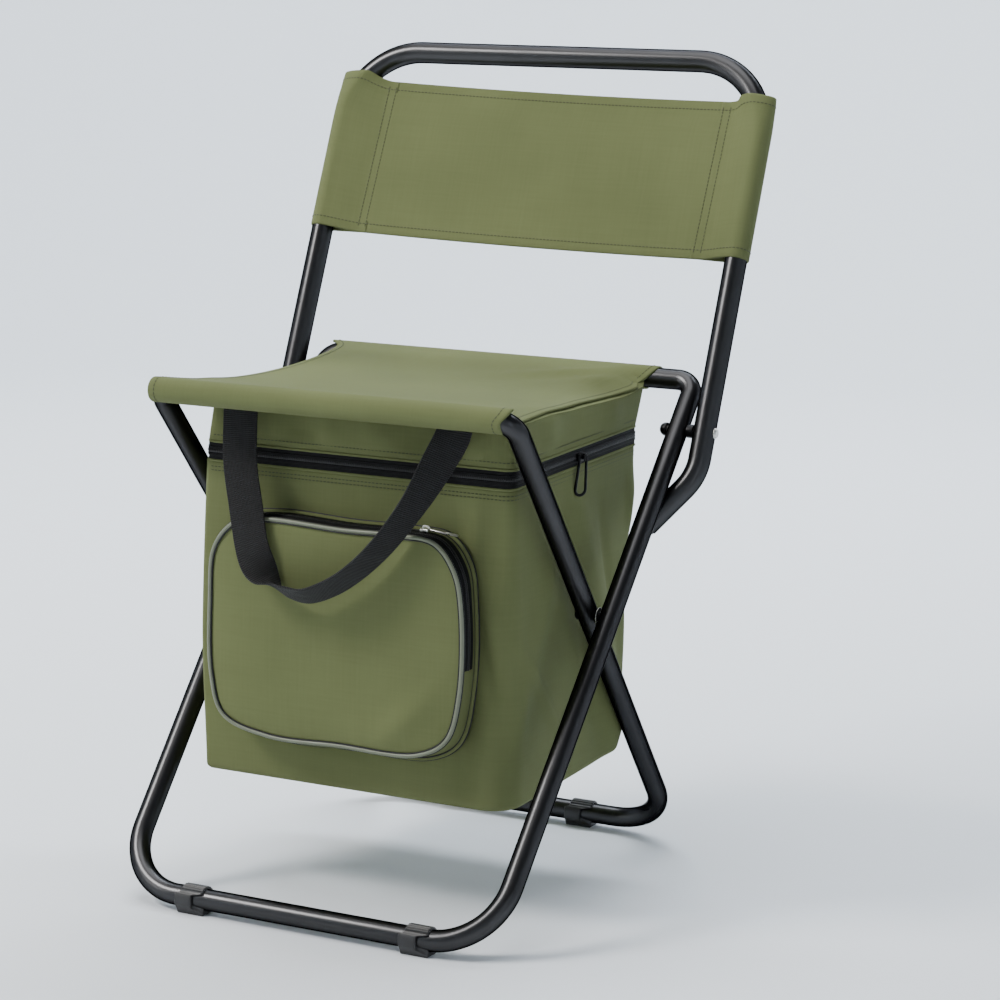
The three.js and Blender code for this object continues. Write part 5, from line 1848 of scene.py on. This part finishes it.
class STOOL_OT_pocket(bpy.types.Operator):
    """Build the front pocket: a swelling front, a gusset, two piped edges and black cords of painted seam
    shade
    """

    bl_idname = "stool.pocket"
    bl_label = "Front Pocket"

    def execute(self, context):
        bag = settings("stool_bag")
        rear = bag.front - BAG_GAP
        front = rear - bag.pocket_depth
        s = np.concatenate([np.linspace(0, 0.86, 26), np.linspace(0.88, 1, 9)])
        edge = pocket_loop(bag, 0.0, front, 0.0)
        middle = np.array([bag.pocket_middle, front, (bag.pocket_top + bag.pocket_bottom) / 2])
        face = middle + (edge - middle) * s[:, None, None]
        swell = bag.pocket_bulge * (1 - s**7)[:, None]
        x, z = face[..., 0], face[..., 2]
        fold = 0.0030 * bump((x - 0.055) * 0.75 - (z - 0.15) * 0.66, 0.0, 0.011) * bump(z, 0.150, 0.03)
        fold = fold + 0.0009 * bump((x - 0.02) + (z - 0.14) * 0.2, 0.0, 0.013) * bump(z, 0.138, 0.02)
        dent = 0.0012 * bump(x, 0.03, 0.05) * bump(z, 0.22, 0.05)
        face[..., 1] = front + POCKET_EASE - swell - (fold - dent) * (1 - s**8)[:, None]
        wall = [
            pocket_loop(bag, GUSSET_SWELL * math.sin(math.pi * t), lerp(front + POCKET_EASE, rear, t), t)
            for t in np.linspace(0, 1, 12)[1:]
        ]
        grid = np.concatenate([face, np.stack(wall)])
        round_it = np.concatenate([grid, grid[:, :1]], 1)
        flat, depth = round_it[..., (0, 2)], round_it[..., 1:2] - front
        depth[: len(s)] = 0
        uv = np.concatenate([flat + depth * (0.0, 1.0), flat[-1:]])
        shape = patch(grid, uv, (False, True))
        form = (CLOTH_ANGLE, POCKET_WALL, INWARD)
        hang("pocket_cloth", [shape], olive_cloth(), "canvas", "pocket_shell", form=form)
        self.pipings(bag, front, rear)
        return {"FINISHED"}

    def pipings(self, bag, front, rear):
        """Each piping is a round cord, vinyl in front and cloth behind, between two thin black cords of
        painted seam shade.
        """
        radius = bag.piping_diameter / 2
        rows = []
        for name, finish, y, share_back in (
            ("front_piping", vinyl_piping, front + radius * 0.6, 0.0),
            ("rear_piping", olive_cloth, rear - radius * 0.95, 1.0),
        ):
            loop = pocket_loop(bag, radius * 0.8, y, share_back)
            cord = swept(loop, None, circle(radius, 20), (0, 1, 0), closed=True)
            hang(name, [cord], finish(), "piping", f"pocket_{name}")
            # The shade of each seam beside the piping is painted as a thin black cord in the zip coil's
            # finish
            for offset, behind in PIPING_SHADE_CORDS[name]:
                seam = pocket_loop(bag, offset * radius, y + behind * radius, share_back)
                ring = circle(SHADE_CORD_RADIUS, 8)
                rows.append(swept(seam, None, ring, (0, 1, 0), closed=True))
        hang("piping_seams", rows, zip_coil(), "zip_tape")


# Places of the black cords of painted seam shade beside each piping, in piping radii: outwards of the
# cloth's edge and behind
PIPING_SHADE_CORDS = {
    "front_piping": ((-0.35, -0.25), (1.75, 0.55)),
    "rear_piping": ((0.1, -0.85), (1.85, 0.55)),
}
SHADE_CORD_RADIUS = 0.00065


def gusset_line(bag, proud, t):
    """A line along the gusset's zip, up its right side and over its top.

    t holds the shares of the gusset's depth at which it runs, on the side and on the top.
    """
    start_x = low_of("pocket_zip_tape")[0] - 0.008
    end_z = low_of("pocket_zip_tape")[2]
    outline = pocket_outline(bag, 0.0, 0.5, 480)
    first = int(outline[:, 1].argmin())
    outline = np.roll(outline, -first, 0)
    begin = int(np.argmax((outline[:, 1] > end_z) & (outline[:, 0] > bag.pocket_middle)))
    after = (outline[:, 0] < start_x) & (outline[:, 1] > end_z) & (np.arange(len(outline)) > begin)
    kept = slice(begin, int(np.argmax(after)))
    rear = bag.front - BAG_GAP
    front = rear - bag.pocket_depth + POCKET_EASE
    lines = []
    for at in t:
        line = pocket_outline(bag, GUSSET_SWELL * math.sin(math.pi * at) + proud, at, 480)
        lines.append(spaced(np.roll(line, -first, 0)[kept], 200))
    corner = smooth(np.linspace(0, 1, 200), 0.42, 0.62)
    plan = lerp(lines[0], lines[1], corner[:, None])
    return np.column_stack([plan[:, 0], lerp(front, rear, lerp(t[0], t[1], corner)), plan[:, 1]])


# Shares of the gusset's depth that the zip's tape reaches, on the right side and on the top
ZIP_NEAR = (0.10, 0.06)
ZIP_FAR = (0.66, 0.93)
# How far the tape's two faces and the coil stand out of the gusset
ZIP_OVER = 0.0007
ZIP_UNDER = -0.0005
ZIP_COIL_PROUD = 0.0008
ZIP_COIL_PITCH = 0.0014

# The slider rests a little further round the corner than its straight track, with its tab hanging down
SLIDER_REST = 0.006
SLIDER_LIFT = 0.0012
TAB_LIFT = 0.0022
TAB_EXTRA = 0.004
TAB_RIM = 0.0011
TAB_ANGLE = math.radians(7)
TAB_TURN = np.array(
    [
        [math.cos(TAB_ANGLE), 0, -math.sin(TAB_ANGLE)],
        [0, 1, 0],
        [math.sin(TAB_ANGLE), 0, math.cos(TAB_ANGLE)],
    ]
)


class STOOL_OT_pocket_zip(bpy.types.Operator):
    """Build the pocket's zip tape and coil, its slider and its tab pull"""

    bl_idname = "stool.pocket_zip"
    bl_label = "Pocket Zip"

    def execute(self, context):
        bag = settings("stool_bag")
        near, far = np.array(ZIP_NEAR), np.array(ZIP_FAR)
        columns = [gusset_line(bag, ZIP_OVER, lerp(far, near, k)) for k in np.linspace(0, 1, 7)]
        under = [gusset_line(bag, ZIP_UNDER, lerp(near, far, k)) for k in np.linspace(0, 1, 7)]
        grid = np.stack([*columns, *under], 1)
        closed = np.concatenate([grid, grid[:, :1]], 1)
        u = np.broadcast_to(run_of(closed.mean(0)), closed.shape[:2])
        v = np.broadcast_to(run_of(grid.mean(1))[:, None], closed.shape[:2])
        first, last = (0 * row + row.mean(1, keepdims=True) for row in (grid[:1], grid[-1:]))
        uv = np.stack([u, v], -1)
        uv = np.concatenate([uv[:1], uv, uv[-1:]])
        tape = patch(np.concatenate([first, grid, last]), uv, (False, True))
        hang("pocket_zip_band", [tape], zip_weave(), "zip_tape", "pocket_zip_tape")
        line = gusset_line(bag, ZIP_COIL_PROUD, lerp(near, far, 0.5))
        out = unit(np.cross(line_ways(line), (0, 1, 0)))
        hang("pocket_zip_coil", [coil(line, out, ZIP_COIL_PITCH)], zip_coil(), "zip_tape")
        self.slider_and_pull()
        return {"FINISHED"}

    def slider_and_pull(self):
        """A bevelled runner with a bridge, and a flat tab with an eye that lies along the zip."""
        low, high, middle = box_of("pocket_zip_slider", (SLIDER_REST, 0, SLIDER_LIFT))
        ends = (np.array([x, middle[1], middle[2]]) for x in (low[0], high[0]))
        section = rounded_outline(high[1] - low[1], high[2] - low[2], RUNNER_EDGE, 5)
        body = runner_body(*ends, section, (0, 0, 1), 0.84, 15)
        bridge, ways = bent_line(
            [
                (low[0] + 0.0012, middle[1], middle[2]),
                (low[0] + 0.0022, middle[1], high[2] + 0.0016),
                (high[0] - 0.0012, middle[1], high[2] + 0.0012),
                (high[0] - 0.0006, middle[1], middle[2]),
            ],
            [0, 0.001, 0.001, 0],
            False,
            6,
        )
        arch = swept(bridge, ways, rounded_outline(0.0014, 0.0008, 0.0003), (0, 1, 0))
        hang("pocket_zip_runner", [body, arch], bright_steel(), "black_metal", "pocket_zip_slider")
        low, high, _ = box_of("pocket_zip_pull", (SLIDER_REST, 0, TAB_LIFT))
        high = high + (TAB_EXTRA, 0, 0)
        middle = (low + high) / 2
        half_x, half_y = (high[0] - low[0]) / 2, (high[1] - low[1]) / 2
        z, left, right = middle[2], low[0] + TAB_RIM, high[0] - TAB_RIM
        ahead, behind = middle[1] - half_y + TAB_RIM, middle[1] + half_y - TAB_RIM
        corners = [(left, ahead, z), (right, ahead, z), (right, behind, z), (left, behind, z)]
        loop, ways = bent_line(corners, [0.0012] * 4, True, 6)
        ring = swept(loop, ways, circle(0.0009, 10) * (1.0, 0.7), (0, 0, 1), closed=True)
        plate = np.linspace(-1, 1, 9)
        web_x = low[0] + half_x * 0.55 + plate * half_x * 0.5
        web = np.stack([web_x, 0 * plate + middle[1], 0 * plate + z], -1)
        section = rounded_outline(2 * half_y - 2 * TAB_RIM, 0.0008, 0.0003)
        solid = swept(web, None, section, (0, 0, 1))
        pivot = np.array([left, 0, z])
        parts = [(pivot + (part[0] - pivot) @ TAB_TURN, *part[1:]) for part in (ring, solid)]
        hang("pocket_zip_tab", parts, bright_steel(), "pull_steel", "pocket_zip_pull")


# Webbing handle

# Places of the loop as shares of its spread, its drop, how far it stands forward of its top, and how
# far it has turned about its own line: it folds over at its lower left
STRAP_ROUTE_SHARES = (
    (-1, 0, 0, 0),
    (-0.975, 0.315, 0.15, 0),
    (-0.866, 0.56, 0.46, 0),
    (-0.765, 0.785, 0.7, 0),
    (-0.695, 0.88, 0.78, -0.4),
    (-0.62, 0.942, 0.84, -1.0),
    (-0.55, 0.978, 0.87, -1.6),
    (-0.48, 1.005, 0.9, -2.1),
    (-0.38, 1.02, 0.95, -2.3),
    (-0.2, 1.022, 1, -2.4),
    (0, 0.968, 1, -2.45),
    (0.22, 0.868, 1, -2.45),
    (0.485, 0.69, 0.95, -2.5),
    (0.735, 0.43, 0.62, -2.65),
    (0.88, 0.212, 0.25, -3.05),
    (0.982, 0.05, 0.03, -3.4),
    (1, 0, 0, -3.46),
)
STRAP_YAW = math.radians(20)
STRAP_TURN = math.radians(52)
STRAP_DROP = 0.125
STRAP_FORWARD = 0.024
STRAP_EASE = 0.0002


class STOOL_OT_handle(bpy.types.Operator):
    """Build the webbing handle and the two tabs that it hangs from"""

    bl_idname = "stool.handle"
    bl_label = "Webbing Handle"

    def execute(self, context):
        bag = settings("stool_bag")
        shares = np.array(STRAP_ROUTE_SHARES, float)
        tab = middle_of("strap_tab_right")
        hinge = high_of("carry_strap")[2] - bag.strap_thickness / 2
        forward, drop = shares[:, 2] * STRAP_FORWARD, shares[:, 1] * STRAP_DROP
        places = np.column_stack([shares[:, 0] * tab[0], tab[1] - forward, hinge - drop, shares[:, 3]])
        route = spaced(smooth_line(places, 400), 220)
        line, turn = route[:, :3], route[:, 3:] * STRAP_TURN
        ways = line_ways(line)
        front = np.array([math.sin(STRAP_YAW), -math.cos(STRAP_YAW), 0.0])
        flat = unit(front - np.sum(ways * front, 1, keepdims=True) * ways)
        facing = flat * np.cos(turn) + np.cross(ways, flat) * np.sin(turn)
        section = rounded_outline(bag.strap_width, bag.strap_thickness, bag.strap_thickness * 0.45, 4)
        loop = swept(line, ways, section, facing)
        hang("handle_webbing", [loop], black_webbing(), "webbing", "carry_strap")
        for side in ("left", "right"):
            node = f"strap_tab_{side}"
            low, high, middle = box_of(node)
            z = np.linspace(high[2] - STRAP_EASE, low[2] + STRAP_EASE, 16)
            path = np.stack([0 * z + middle[0], 0 * z + middle[1], z], -1)
            shape = swept(path, None, section, (0, -1, 0))
            hang(f"handle_tab_{side}", [shape], black_webbing(), "webbing", node)
        return {"FINISHED"}


# Stage

CAMERA_PLACE = (1.0174, -1.9295, 0.6629)
CAMERA_TARGET = (0.0, 0.11106, 0.26986)
CAMERA_ROLL = math.radians(1.24)
CAMERA_LENS = 104.75
CAMERA_SENSOR = 36.0


def aim(place, target, roll=0.0):
    """Axes of an object at place whose -Z points at target, with its Y upwards, then rolled."""
    back = unit(np.subtract(place, target))
    right = unit(np.cross((0, 0, 1), back))
    up = np.cross(back, right)
    turned_right = right * math.cos(roll) + up * math.sin(roll)
    turned_up = -right * math.sin(roll) + up * math.cos(roll)
    matrix = np.eye(4)
    matrix[:3] = np.column_stack([turned_right, turned_up, back, place])
    return Matrix(matrix)


# Each light's name, place, target, width, height, power and tint
LIGHTS = (
    ("Key", (-2.0, -1.7, 2.6), (0, 0, 0.3), 1.0, 1.0, 114.0, (1.0, 0.98, 0.95)),
    ("Front", (-2.6, -2.4, 1.2), (0, 0, 0.3), 0.9, 1.2, 17.0, (1.0, 0.99, 0.97)),
    ("Top", (-0.3, -0.2, 3.0), (0, 0, 0.3), 2.2, 1.8, 56.0, (1.0, 1.0, 1.0)),
    ("Streak", (2.6, -2.2, 1.2), (0, 0, 0.3), 0.3, 2.0, 4.0, (0.95, 0.98, 1.0)),
    ("Rim", (1.6, 2.6, 1.8), (0, 0, 0.3), 0.6, 1.6, 8.0, (1.0, 1.0, 1.0)),
    ("Backdrop", (-0.3, 1.7, 3.2), (-0.8, 3.2, 0.3), 3.6, 0.8, 220.0, (0.88, 0.94, 1.0)),
)
SKY_STRENGTH = 0.14
# The floor is a wide round sheet that sweeps up into a wall on every side
SWEEP_REACH = 4.6
SWEEP_RADIUS = 1.6
SWEEP_HEIGHT = 3.0


class STOOL_OT_stage(bpy.types.Operator):
    """Build the pale floor, the soft lights and the camera at the photograph's angle"""

    bl_idname = "stool.stage"
    bl_label = "Studio Stage"

    def execute(self, context):
        scene, tones = context.scene, settings("stool_colours")
        corners = [(0, 0, 0), (SWEEP_REACH, 0, 0), (SWEEP_REACH, 0, SWEEP_HEIGHT)]
        reach, _ = bent_line(corners, [0, SWEEP_RADIUS, 0], False, 24)
        around = np.arange(128) * 2 * math.pi / 128
        way = np.stack([np.cos(around), np.sin(around), 0 * around], -1)
        grid = reach[:, None, :1] * way + (reach[:, None] - (0, 0, 0.0002)) * (0, 0, 1)
        floor = make_piece("studio_floor_sheet", [patch(grid, None, (False, True))], studio_floor())
        world = bpy.data.worlds.new("studio_world")
        world.use_nodes = True
        background = world.node_tree.nodes["Background"]
        background.inputs["Color"].default_value = (*tones.sky, 1.0)
        background.inputs["Strength"].default_value = SKY_STRENGTH
        scene.world = world
        for name, place, target, wide, tall, power, tint in LIGHTS:
            data = bpy.data.lights.new(f"studio_{name.lower()}", "AREA")
            data.shape, data.size, data.size_y = "RECTANGLE", wide, tall
            data.energy, data.color = power, tint
            lamp = bpy.data.objects.new(data.name, data)
            scene.collection.objects.link(lamp)
            lamp.matrix_world = aim(place, target)
        data = bpy.data.cameras.new("studio_camera")
        data.lens, data.sensor_width = CAMERA_LENS, CAMERA_SENSOR
        data.clip_start, data.clip_end = 0.05, 30.0
        camera = bpy.data.objects.new("studio_camera", data)
        scene.collection.objects.link(camera)
        camera.matrix_world = aim(CAMERA_PLACE, CAMERA_TARGET, CAMERA_ROLL)
        scene.camera = camera
        return {"FINISHED"}


OPERATORS = (
    STOOL_OT_stage,
    STOOL_OT_tubes,
    STOOL_OT_fasteners,
    STOOL_OT_foot_clips,
    STOOL_OT_seat_cloth,
    STOOL_OT_back_cloth,
    STOOL_OT_bag_body,
    STOOL_OT_lid,
    STOOL_OT_lining,
    STOOL_OT_main_zip,
    STOOL_OT_pocket,
    STOOL_OT_pocket_zip,
    STOOL_OT_handle,
)


class STOOL_PT_panel(bpy.types.Panel):
    """The stool's sizes, colours and building steps"""

    bl_label = "Cooler Stool"
    bl_idname = "STOOL_PT_panel"
    bl_space_type = "VIEW_3D"
    bl_region_type = "UI"
    bl_category = "Stool"

    def draw(self, context):
        for operator in OPERATORS:
            self.layout.operator(operator.bl_idname)
        for name in SETTINGS:
            group = getattr(context.scene, name)
            box = self.layout.box()
            for key in group.bl_rna.properties.keys():
                if key not in ("rna_type", "name"):
                    box.prop(group, key)


def register():
    """Registers the settings, the operators and the panel."""
    for group in (*SETTINGS.values(), *OPERATORS, STOOL_PT_panel):
        bpy.utils.register_class(group)
    for name, group in SETTINGS.items():
        setattr(bpy.types.Scene, name, bpy.props.PointerProperty(type=group))


def unregister():
    """Takes them all away again."""
    for name in SETTINGS:
        delattr(bpy.types.Scene, name)
    for group in reversed((*SETTINGS.values(), *OPERATORS, STOOL_PT_panel)):
        bpy.utils.unregister_class(group)


def main():
    """Builds the stool step by step."""
    register()
    for operator in OPERATORS:
        module, name = operator.bl_idname.split(".")
        getattr(getattr(bpy.ops, module), name)()


if __name__ == "__main__":
    main()
